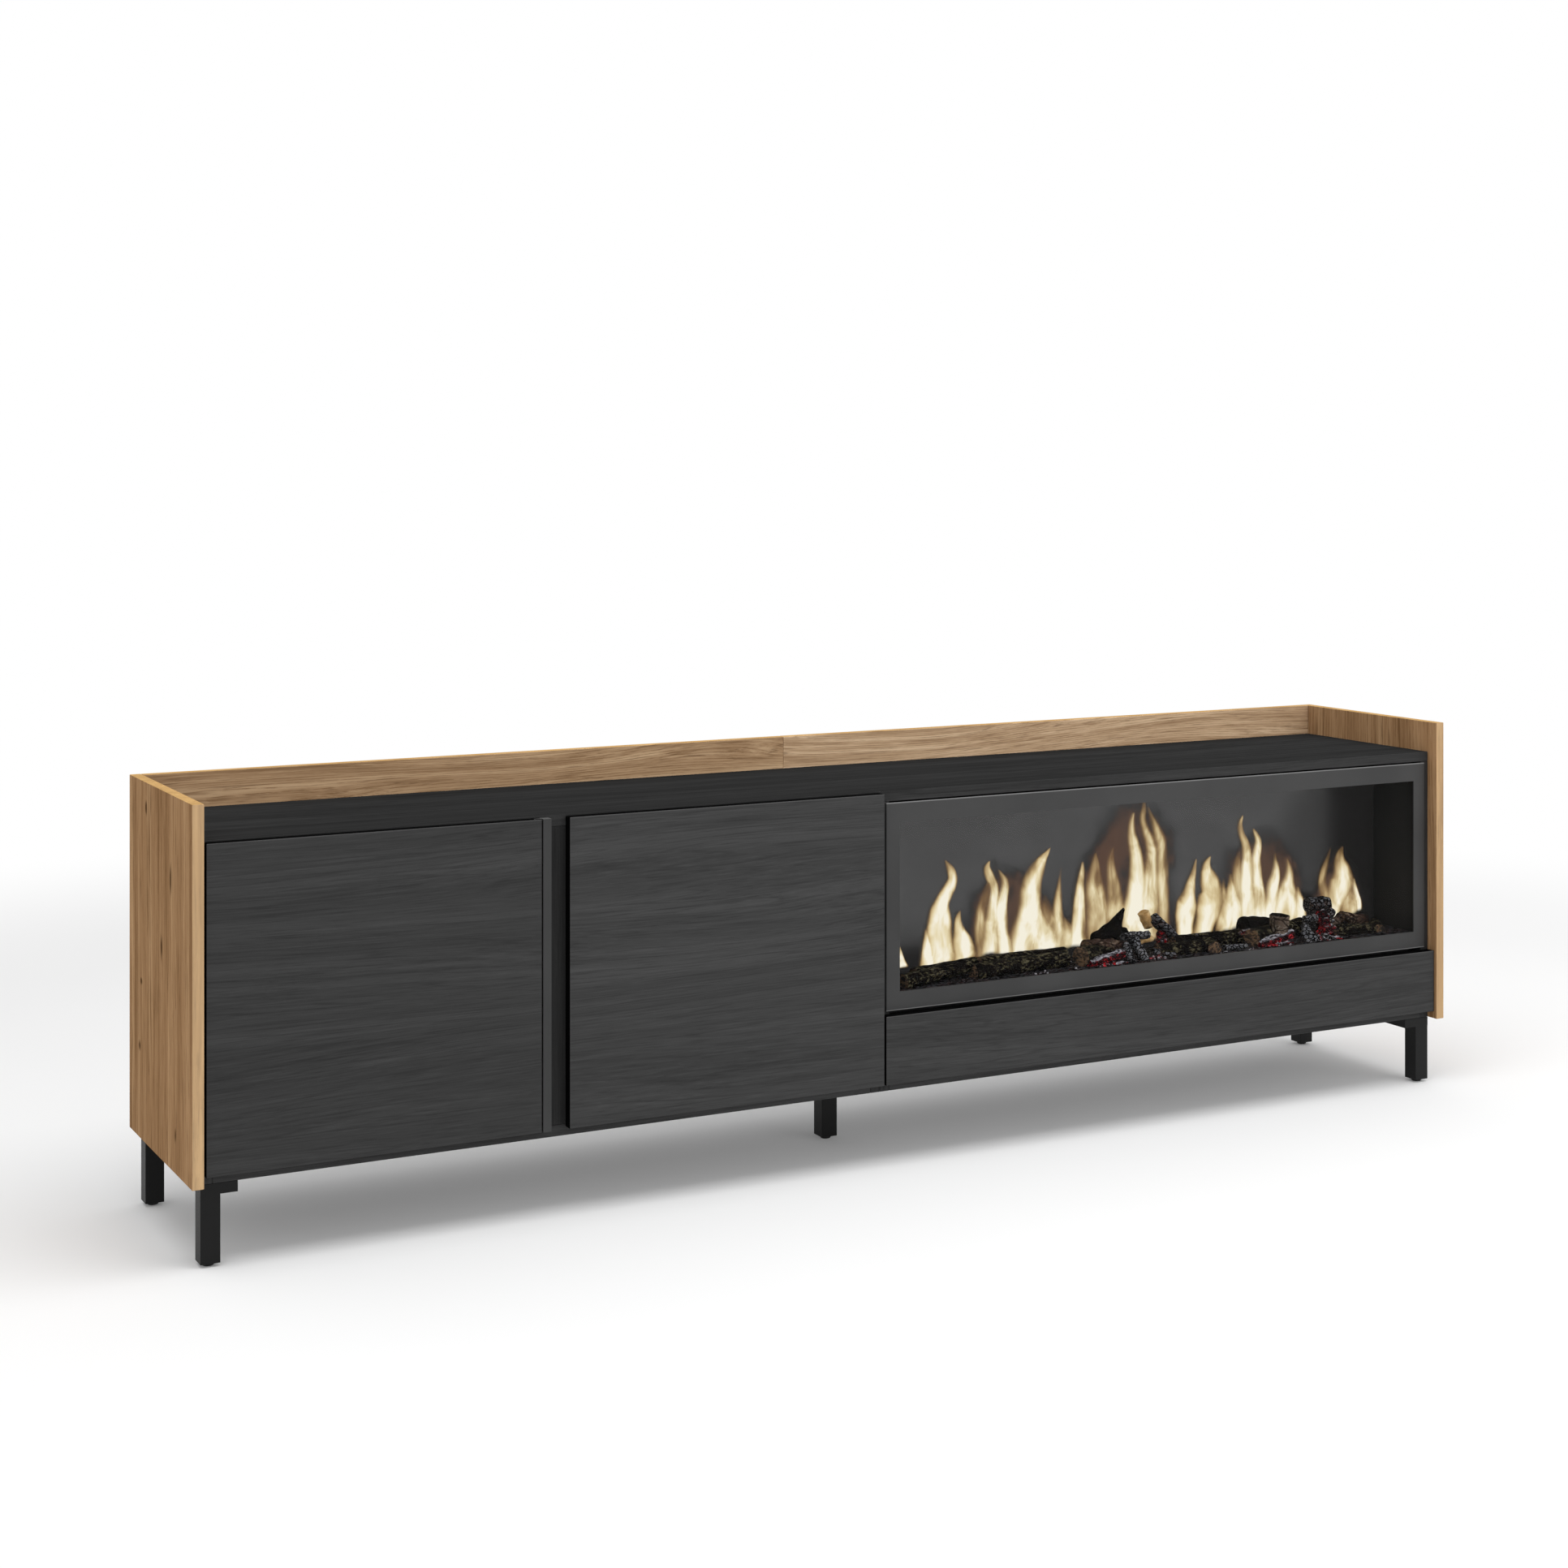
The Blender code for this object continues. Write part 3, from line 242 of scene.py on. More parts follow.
oak = {
    "dark": "#7c5c3d", "middle": "#987653", "light": "#b08e68", "streak": "#6c4e31", "pore": "#5d432b",
    "knot": "#3d2716",
    # the banded edges: how much lighter than the face, and the colour mixed in; the front edges are a paler
    # banding with painted highlight over it, the top edges are painted highlight
    "frontPaintedLightTint": (1.42, 1.46, 1.35), "front": "#d2b693",
    "topPaintedLightTint": (1.46, 1.45, 1.05), "top": "#d0ad7a",
    "ringSpacing": 0.0085,  # growth rings, across the grain
    "ringJitter": 0.012,    # how far their edges wander
    "pores": 300.0,         # across the grain in a metre, drawn about four times as coarse as real pores
    # place, half the width and half the height of each dark knot
    "knots": (
        (-1.0, -0.057, 0.466, 0.0055, 0.026), (-1.0, -0.011, 0.372, 0.0065, 0.022),
        (-1.0, 0.097, 0.310, 0.0070, 0.006), (-1.0, 0.106, 0.224, 0.0070, 0.010),
        (-1.0, -0.082, 0.151, 0.0045, 0.014), (-1.0, 0.071, 0.540, 0.0060, 0.012),
        (1.0, 0.060, 0.410, 0.0060, 0.020), (1.0, -0.090, 0.250, 0.0060, 0.014),
    ),
}


def makeOak(use, axis, shift, reach, width, fold, ringDepth, level, fine=1.0, upright=False):
    # oak decor board: dead matt, warm brown, with fine dark pores, streaks and a few arched rings
    material, shader, place = newFinish(f"oak decor board, {use}", IOR=1.46, Specular_IOR_Level=0.0)
    tree = place.tree
    bent = figured(grainPlace(place, axis), reach, width, fold, shift)
    tone = noiseOf(bent, (1.4, 38.0 * fine, 38.0 * fine), 5.0, 0.66, shift=shift)
    base = ramped(tone, ((0.30, oak["dark"]), (0.50, oak["middle"]), (0.70, oak["light"])))
    jitter = noiseOf(bent, (3.0, 70.0, 70.0), 3.0, 0.6)
    across = bent.part("Y") + (jitter - 0.5) * (oak["ringJitter"] / fine)
    ring = maths("FRACT", across / (oak["ringSpacing"] / fine))
    dashes = noiseOf(bent, (38.0, 240.0, 240.0), 3.0, 0.6)
    late = remap(ring, 0.55, 0.97, 0.0, ringDepth) * remap(dashes, 0.3, 0.62)
    base = blendColour(late, base, oak["streak"])
    streak = noiseOf(bent, (3.2, 85.0 * fine, 85.0 * fine), 4.0, 0.6, shift=shift)
    base = glazed(base, oak["streak"], streak, 0.56, 0.70, 0.75)
    fibre = noiseOf(bent, (12.0, oak["pores"], oak["pores"]), 3.0, 0.70)
    base = glazed(base, oak["light"], fibre, 0.47, 0.30, 0.40)
    plain = blendColour(remap(fibre, 0.55, 0.68, 0.0, 0.55), base, oak["pore"])
    # the level tint sets how light this copy of the oak is drawn: painted light
    base = tinted(plain, level)
    if upright:
        for x, y, z, wide, tall in oak["knots"]:
            centred = stretched(place, (5.0, 1 / wide, 1 / tall), (-x * 5.0, -y / wide, -z / tall))
            ragged = lengthOf(centred) + (fibre - 0.5) * 1.6
            base = glazed(base, oak["knot"], ragged, 1.0, 0.25, 0.85)
        # painted highlight over the paler banding on the front edges of the side panels
        front = blendColour(0.40, tinted(plain, oak["frontPaintedLightTint"]), oak["front"])
        base = blendColour(facing(tree, "Y", -1), base, front)
    # painted highlight on every upward face, for the light from above
    top = blendColour(0.40, tinted(plain, oak["topPaintedLightTint"]), oak["top"])
    base = blendColour(facing(tree, "Z", 1), base, top)
    feed(shader, Base_Color=base, Roughness=remap(fibre, 0.3, 0.7, 0.50, 0.64))
    addBump(shader, streak - fibre, 0.18, 0.0005)
    return material


blackWood = {
    "dark": "#2d2d2d", "middle": "#343434", "light": "#3e3e3e", "line": "#515151", "pore": "#1f1f1f",
    # rim: the colour of the painted highlight on the eased upper edges of the doors and the drawer
    "rim": "#5c5c5c",
    "reach": 1.60, "width": 0.16, "fold": 0.13,     # the arches of the grain, in metres
    "fibre": 430.0,     # fine brushed lines in a metre, drawn about twice as coarse as real ones
    # for the tops: painted shade on their upper faces, painted highlight on their front edges, and a paler
    # grey, a painted highlight too, on their other faces
    "topPaintedLightTint": (0.74, 0.74, 0.74), "frontPaintedLightTint": (1.25, 1.25, 1.25), "topEdgeGlint": "#4c4c4c",
    "doorTop": 0.5235, "drawerTop": 0.2110,     # height of the eased upper edges
    "glintFrom": 0.0020, "glintTo": 0.0004,       # how far below them the painted highlight begins and is full
}


def makeBlackWood(use, axis, shift, level=1.0, rim=None):
    # black textured laminate: low contrast arches of fine brushed lines, matt
    material, shader, place = newFinish(
        f"black textured laminate, {use}", IOR=1.45, Specular_IOR_Level=0.22)
    line, pore = blackWood["line"], blackWood["pore"]
    bent = figured(
        grainPlace(place, axis), blackWood["reach"], blackWood["width"], blackWood["fold"], shift)
    tone = noiseOf(bent, (0.6, 26.0, 26.0), 6.0, 0.62, shift=shift)
    base = ramped(tone, (
        (0.28, blackWood["dark"]), (0.50, blackWood["middle"]), (0.74, blackWood["light"])))
    streak = noiseOf(bent, (0.8, 120.0, 120.0), 4.0, 0.65, shift=shift)
    base = glazed(base, line, streak, 0.58, 0.78, 0.16)
    base = glazed(base, pore, streak, 0.45, 0.26, 0.50)
    # thin dark growth lines that follow the arches
    bands = noiseOf(bent, (0.9, 52.0, 52.0), 2.0, 0.5, shift=shift)
    ridge = abs(maths("FRACT", bands * 6.0) - 0.5)
    base = blendColour(remap(ridge, 0.0, 0.14, 0.34, 0.0), base, pore)
    fibre = noiseOf(bent, (14.0, blackWood["fibre"], blackWood["fibre"]), 3.0, 0.65)
    base = glazed(base, line, fibre, 0.52, 0.72, 0.14)
    base = glazed(base, pore, fibre, 0.48, 0.28, 0.40)
    if rim:
        # the eased upper edge of the panel catches the light
        paintedGlint = remap(
            place.part("Z"), rim - blackWood["glintFrom"], rim - blackWood["glintTo"], 0.0, 0.4)
        base = blendColour(paintedGlint, base, blackWood["rim"])
    # lighter and darker copies of the laminate: painted light and painted shade
    if level != 1.0:
        base = tinted(base, (level, level, level))
    feed(shader, Base_Color=base, Roughness=remap(fibre, 0.3, 0.7, 0.70, 0.56))
    addBump(shader, fibre + streak, 0.15, 0.0005)
    return material


def makeTopWood():
    # the same laminate on the tops, dead matt, with painted shade on the upper face, a painted highlight on
    # the front edge, and a paler grey on all other faces as a painted highlight on the eased rims
    material = makeBlackWood("tops", "x", (4.0, 2.0, 0.0))
    shader, plain, place = reopened(material)
    tree = place.tree
    sides = blendColour(facing(tree, "Y", -1), blackWood["topEdgeGlint"], tinted(plain, blackWood["frontPaintedLightTint"]))
    base = blendColour(facing(tree, "Z", 1), sides, tinted(plain, blackWood["topPaintedLightTint"]))
    feed(shader, Base_Color=base, Specular_IOR_Level=0.0)
    return material


# plain finishes

def makeMottled(name, colour, roughness, spread=0.06, scale=900.0, bump=0.1, **inputs):
    # one colour with a fine uneven skin: scale is lumps in a metre
    material, shader, place = newFinish(name, **inputs)
    lumps = noiseOf(place, scale, 3.0)
    cloud = noiseOf(place, 7.0, 2.0)
    feed(shader,
         Base_Color=blendColour(remap(cloud, 0.3, 0.7), dimmed(colour, 0.78), colour),
         Roughness=remap(lumps, 0.3, 0.7, roughness - spread, roughness + spread))
    addBump(shader, lumps, bump, 0.0003)
    return material


backNails = {
    "rows": (0.1105, 0.5022),               # heights of the nailed edges
    "spacing": 0.105, "head": 0.0024,       # along an edge, and the radius of a nail head
    "columns": (-0.9770, -0.5140, -0.0300, -0.0150, 0.9770),
    "steel": "#8d8f92",
}


def makeHardboard(name):
    # hardboard under a rough dark paint, its fibre just felt
    return makeMottled(name, "#2c2c2c", 0.78, 0.08, 500.0, 0.35)


def makeNailedBoard():
    # painted hardboard with flush steel panel pins along its edges
    material = makeHardboard("painted hardboard, pinned")
    shader, plain, place = reopened(material)
    x, z = place.part("X"), place.part("Z")

    def nearest(value, lines):
        least, *others = [abs(value - line) for line in lines]
        for gap in others:
            least = maths("MINIMUM", least, gap)
        return least

    def stepped(value):
        turn = maths("FRACT", (value + 5.0) / backNails["spacing"])
        return abs(turn - 0.5) * backNails["spacing"]

    def headAt(first, second):
        return lengthOf(vectorOf(place.tree, first, second)) < backNails["head"]

    head = maths("MAXIMUM", headAt(stepped(x), nearest(z, backNails["rows"])),
                 headAt(nearest(x, backNails["columns"]), stepped(z)))
    feed(shader, Base_Color=blendColour(head, plain, backNails["steel"]), Metallic=head)
    return material


def makeBrushed(name, colour, roughness, axis):
    # plated steel with drawing lines along the part
    material, shader, place = newFinish(name, Metallic=1.0)
    lines = noiseOf(grainPlace(place, axis), (25.0, 1400.0, 1400.0), 2.0)
    feed(shader,
         Base_Color=blendColour(lines, dimmed(colour, 0.85), colour),
         Roughness=remap(lines, 0.3, 0.7, roughness - 0.08, roughness + 0.08))
    addBump(shader, lines, 0.08, 0.0002)
    return material


# height of each folded edge of the bezel, and how far down its face the painted highlight reaches
bezelRims = ((0.5085, 0.0020), (0.2154, 0.0016))


def makeBezelPaint():
    # smooth dark grey lacquer on folded steel, with a painted highlight along its long edges
    material = makeMottled("smooth dark grey lacquer on steel", "#3b3b3b", 0.44, 0.03, 1800.0, 0.03)
    shader, plain, place = reopened(material)
    height = place.part("Z")
    rims = [remap(abs(height - z), reach, 0.0004) for z, reach in bezelRims]
    paintedGlint = maths("MAXIMUM", *rims) * 0.7
    feed(shader, Base_Color=blendColour(paintedGlint, plain, "#8a8a8a"), Specular_IOR_Level=0.25)
    return material


def makeGlass():
    # toughened clear pane: nearly invisible, a faint sheen and a few dust specks
    material, shader, place = newFinish("clear toughened glass", Alpha=0.05, IOR=1.5)
    specks = noiseOf(place, 160.0, 4.0, 0.7)
    dust = remap(specks, 0.70, 0.80, 0.0, 0.5)
    feed(shader, Base_Color=blendColour(dust, "#0c0d0e", "#3a3c3e"),
         Roughness=remap(specks, 0.35, 0.8, 0.02, 0.05))
    material.surface_render_method = "BLENDED"
    return material


# the painted reflection on the screen: its greys, its strength and how it fades
screenPaintedReflection = {
    "top": "#4b4b4b", "low": "#262525", "right": "#1f1e1d", "strength": 0.59,
    "fadeFrom": 0.728, "fadeTo": 0.836,     # where the haze dies away along the screen
    "lowEdge": 0.262, "highEdge": 0.360,    # and up from the logs
    "lean": 0.45, "leanFrom": 0.40,         # the fade leans to the right going up
    "sway": 0.18, "lowSway": 0.35,          # how uneven the fade is, and the share of that at the logs
}


def makeScreen():
    # smoked acrylic, lit faintly from behind; its grey haze, which fades to the right and to the logs, is a
    # painted reflection given off as light
    material, shader, place = newFinish(
        "smoked acrylic sheet", IOR=1.49, Roughness=0.25, Emission_Strength=screenPaintedReflection["strength"])
    x, z = place.part("X"), place.part("Z")
    cloud = noiseOf(place, (5.0, 5.0, 9.0), 3.0, 0.5)
    lift = (cloud - 0.5) * screenPaintedReflection["sway"]
    leaning = x - (z - screenPaintedReflection["leanFrom"]) * screenPaintedReflection["lean"]
    across = remap(leaning + lift, screenPaintedReflection["fadeTo"], screenPaintedReflection["fadeFrom"])
    upward = remap(z + lift * screenPaintedReflection["lowSway"], screenPaintedReflection["lowEdge"], screenPaintedReflection["highEdge"])
    grey = blendColour(upward, screenPaintedReflection["low"], screenPaintedReflection["top"])
    grey = blendColour(across, screenPaintedReflection["right"], grey)
    grey = blendColour(remap(cloud, 0.62, 0.40, 0.0, 0.30), grey, screenPaintedReflection["low"])
    feed(shader, Emission_Color=grey, Base_Color=blendColour(cloud, "#060606", "#0b0b0b"))
    return material


# lit copies of the one oak: the level tints paint the gallery boards far lighter than the side panels, the
# right one most
oakUpright = makeOak(
    "upright grain", "z", (0.0, 0.35, 0.0), 0.9, 0.30, 0.05, 0.45, (1.12, 1.13, 1.18), upright=True)
oakLeftLit = makeOak(
    "left length", "x", (0.3, 0.15, 0.0), 0.85, 0.10, 0.16, 0.80, (1.52, 1.70, 2.02), fine=2.2)
oakRightLit = makeOak(
    "right length", "x", (1.9, 0.62, 0.4), 0.95, 0.11, 0.14, 0.75, (1.90, 2.25, 2.9), fine=2.2)
# lit and shaded copies of the one laminate: the right door is painted lighter, the uprights, the centre stile
# in its recess and the inner boards are painted darker as shade
doorWood = makeBlackWood("doors", "x", (0.0, 0.0, 0.0), rim=blackWood["doorTop"])
rightDoorWoodLit = makeBlackWood("right door", "x", (0.0, 0.0, 0.0), 1.15, rim=blackWood["doorTop"])
drawerWood = makeBlackWood("drawer", "x", (0.4, 0.2, 0.3), rim=blackWood["drawerTop"])
topWood = makeTopWood()
standingWoodShaded = makeBlackWood("upright", "z", (1.0, 3.0, 2.0), 0.80)
stileWoodShaded = makeBlackWood("centre stile", "z", (1.0, 3.0, 2.0), 0.55)
insideWoodShaded = makeBlackWood("inside", "x", (7.0, 1.0, 5.0), 0.85)
# black banding on the edges of the doors and the drawer, drawn near black partly as painted shade
shadedEdgeBanding = makeMottled(
    "black ABS edge banding", "#0b0b0b", 0.75, 0.06, 900.0, 0.08, Specular_IOR_Level=0.0)
hardboard = makeHardboard("painted hardboard")
nailedBoard = makeNailedBoard()
lightBar = makeMottled("frosted light bar", "#cfc7b4", 0.55, 0.06, 600.0, 0.08, IOR=1.49)
drawerBoard = makeMottled("grey foiled chipboard", "#7d7e80", 0.55, 0.05, 1200.0, 0.12)
gripMetal = makeMottled(
    "black anodised aluminium", "#373737", 0.48, 0.05, 1500.0, 0.05, Specular_IOR_Level=0.3)
legSteel = makeMottled(
    "black powder-coated steel", "#0c0c0c", 0.46, 0.08, 1100.0, 0.25, Specular_IOR_Level=0.22)
footPlastic = makeMottled("black nylon", "#101010", 0.55, 0.08, 800.0, 0.15, Specular_IOR_Level=0.3)
nickel = makeMottled("nickel-plated steel", "#c9c6c0", 0.26, 0.06, 300.0, 0.03, Metallic=1.0)
zinc = makeBrushed("zinc-plated steel", "#b9bcc0", 0.36, "y")
bezelPaint = makeBezelPaint()
casingPaint = makeMottled("matt stove paint", "#232220", 0.85, 0.05, 900.0, 0.05, Specular_IOR_Level=0.2)
paneGlass = makeGlass()
screenAcrylic = makeScreen()
mirrorFoil = makeBrushed("crinkled bright foil", "#d8d2c4", 0.18, "x")
blackPlastic = makeMottled("moulded black ABS", "#1a1a1b", 0.5, 0.08, 700.0, 0.2)
print("finishes made")

finishes = {
    "left_side_panel": oakUpright, "right_side_panel": oakUpright,
    "gallery_left": oakLeftLit, "gallery_right": oakRightLit,
    "left_module_top": topWood, "right_module_top": topWood,
    "left_door": doorWood, "right_door": rightDoorWoodLit, "drawer_front": drawerWood,
    "left_module_outer_side": standingWoodShaded, "left_module_inner_side": standingWoodShaded,
    "left_module_partition": standingWoodShaded, "left_module_centre_stile": stileWoodShaded,
    "right_module_inner_side": standingWoodShaded, "right_module_outer_side": standingWoodShaded,
    "left_module_bottom": insideWoodShaded, "right_module_bottom": insideWoodShaded,
    "left_shelf": insideWoodShaded, "right_shelf": insideWoodShaded, "fireplace_shelf": insideWoodShaded,
    "left_module_back": nailedBoard, "right_module_back": nailedBoard, "drawer_bottom": hardboard,
    "drawer_left_side": drawerBoard, "drawer_right_side": drawerBoard, "drawer_back": drawerBoard,
    "left_door_grip_profile": gripMetal,
    "fireplace_bezel": bezelPaint, "fireplace_glass": paneGlass, "fireplace_casing": casingPaint,
    "flame_screen": screenAcrylic, "led_bar": lightBar, "flicker_spindle": mirrorFoil,
    "drawer_runner_left": zinc, "drawer_runner_right": zinc,
    "drawer_rail_left": zinc, "drawer_rail_right": zinc, "spindle_motor": zinc,
    "spindle_bearing": blackPlastic, "control_unit": blackPlastic, "power_inlet": blackPlastic,
}
for name, item in nodes.items():
    finish = finishes.get(name)
    if name.endswith("_leg"):
        finish = legSteel
    elif name.endswith("_foot"):
        finish = footPlastic
    elif "_hinge_" in name:
        finish = nickel
    if finish:
        item.data.materials.clear()
        item.data.materials.append(finish)
    if finish in (doorWood, rightDoorWoodLit, drawerWood):
        # laminate on the two faces, banding round them
        item.data.materials.append(shadedEdgeBanding)
        for face in item.data.polygons:
            face.material_index = 0 if abs(face.normal.y) > 0.9 else 1


# Geometry Nodes: helpers

socketKinds = {float: "NodeSocketFloat", int: "NodeSocketInt", bpy.types.Material: "NodeSocketMaterial"}


def newObject(name, data):
    item = bpy.data.objects.new(name, data)
    bpy.context.scene.collection.objects.link(item)
    return item


def metres(place):
    return tuple(c / 1000 for c in place)


def newShaper(name, sizes):
    # a node group with one named input for each size
    tree = bpy.data.node_groups.new(name, "GeometryNodeTree")
    tree.interface.new_socket("Geometry", in_out="INPUT", socket_type="NodeSocketGeometry")
    for label, value in sizes.items():
        tree.interface.new_socket(label, in_out="INPUT", socket_type=socketKinds[type(value)])
    tree.interface.new_socket("Geometry", in_out="OUTPUT", socket_type="NodeSocketGeometry")
    return tree, addNode(tree, "NodeGroupInput").beside


def shape(tree, kind, inputs=None, out=0, **settings):
    return addNode(tree, "GeometryNode" + kind, inputs, out, **settings)


def moved(geometry, offset):
    return geometry.then("SetPosition", {"Offset": offset})


def roughened(geometry, *layers):
    # pushes the surface in and out by noise: (lumps in a metre, depth) for each layer
    tree = geometry.tree
    where = shape(tree, "InputPosition")
    pushes = [(noiseOf(where, scale, 2.0) - 0.5) * depth for scale, depth in layers]
    push = pushes[0]
    for extra in pushes[1:]:
        push = push + extra
    return moved(geometry, scaled(shape(tree, "InputNormal"), push))


def endShaper(geometry, finish, smooth=None, ends=None):
    # ends: the faces with another finish, and that finish
    tree = geometry.tree
    if smooth is not None:
        geometry = geometry.then("SetShadeSmooth", {"Shade Smooth": smooth})
    geometry = geometry.then("RealizeInstances")
    geometry = geometry.then("SetMaterial", {"Material": finish})
    if ends:
        geometry = geometry.then("SetMaterial", {"Selection": ends[0], "Material": ends[1]})
    addNode(tree, "NodeGroupOutput", {0: geometry})
    return tree


def runShaper(name, mesh, tree, sizes, body="cabinet"):
    holder = newObject(name, mesh)
    modifier = holder.modifiers.new("shape", "NODES")
    modifier.node_group = tree
    for item in tree.interface.items_tree:
        if item.in_out == "INPUT" and item.name in sizes:
            modifier[item.identifier] = sizes[item.name]
    graph = bpy.context.evaluated_depsgraph_get()
    graph.update()
    shaped = bpy.data.meshes.new_from_object(
        holder.evaluated_get(graph), preserve_all_data_layers=True, depsgraph=graph)
    holder.modifiers.clear()
    holder.data = shaped
    shaped.name = name
    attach(holder, body)
    return holder


def stored(geometry, name, value, kind="FLOAT", domain="POINT"):
    return geometry.then("StoreNamedAttribute", {"Name": name, "Value": value}, data_type=kind, domain=domain)


def named(tree, name, kind="FLOAT"):
    return shape(tree, "InputNamedAttribute", {"Name": name}, "Attribute", data_type=kind)


def axesMesh(name, lines):
    # lines: a list of lines, each a list of (place, {attribute: value}) from its start to its end
    mesh = bpy.data.meshes.new(name)
    points = [point for line in lines for point in line]
    edges = []
    count = 0
    for line in lines:
        edges += [(count + i, count + i + 1) for i in range(len(line) - 1)]
        count += len(line)
    mesh.from_pydata([place for place, _ in points], edges, [])
    for label in points[0][1]:
        values = mesh.attributes.new(label, "FLOAT", "POINT")
        values.data.foreach_set("value", [float(extra[label]) for _, extra in points])
    return mesh


# the flames: one thin lit sheet in front of the screen, bulging where the fire is dense

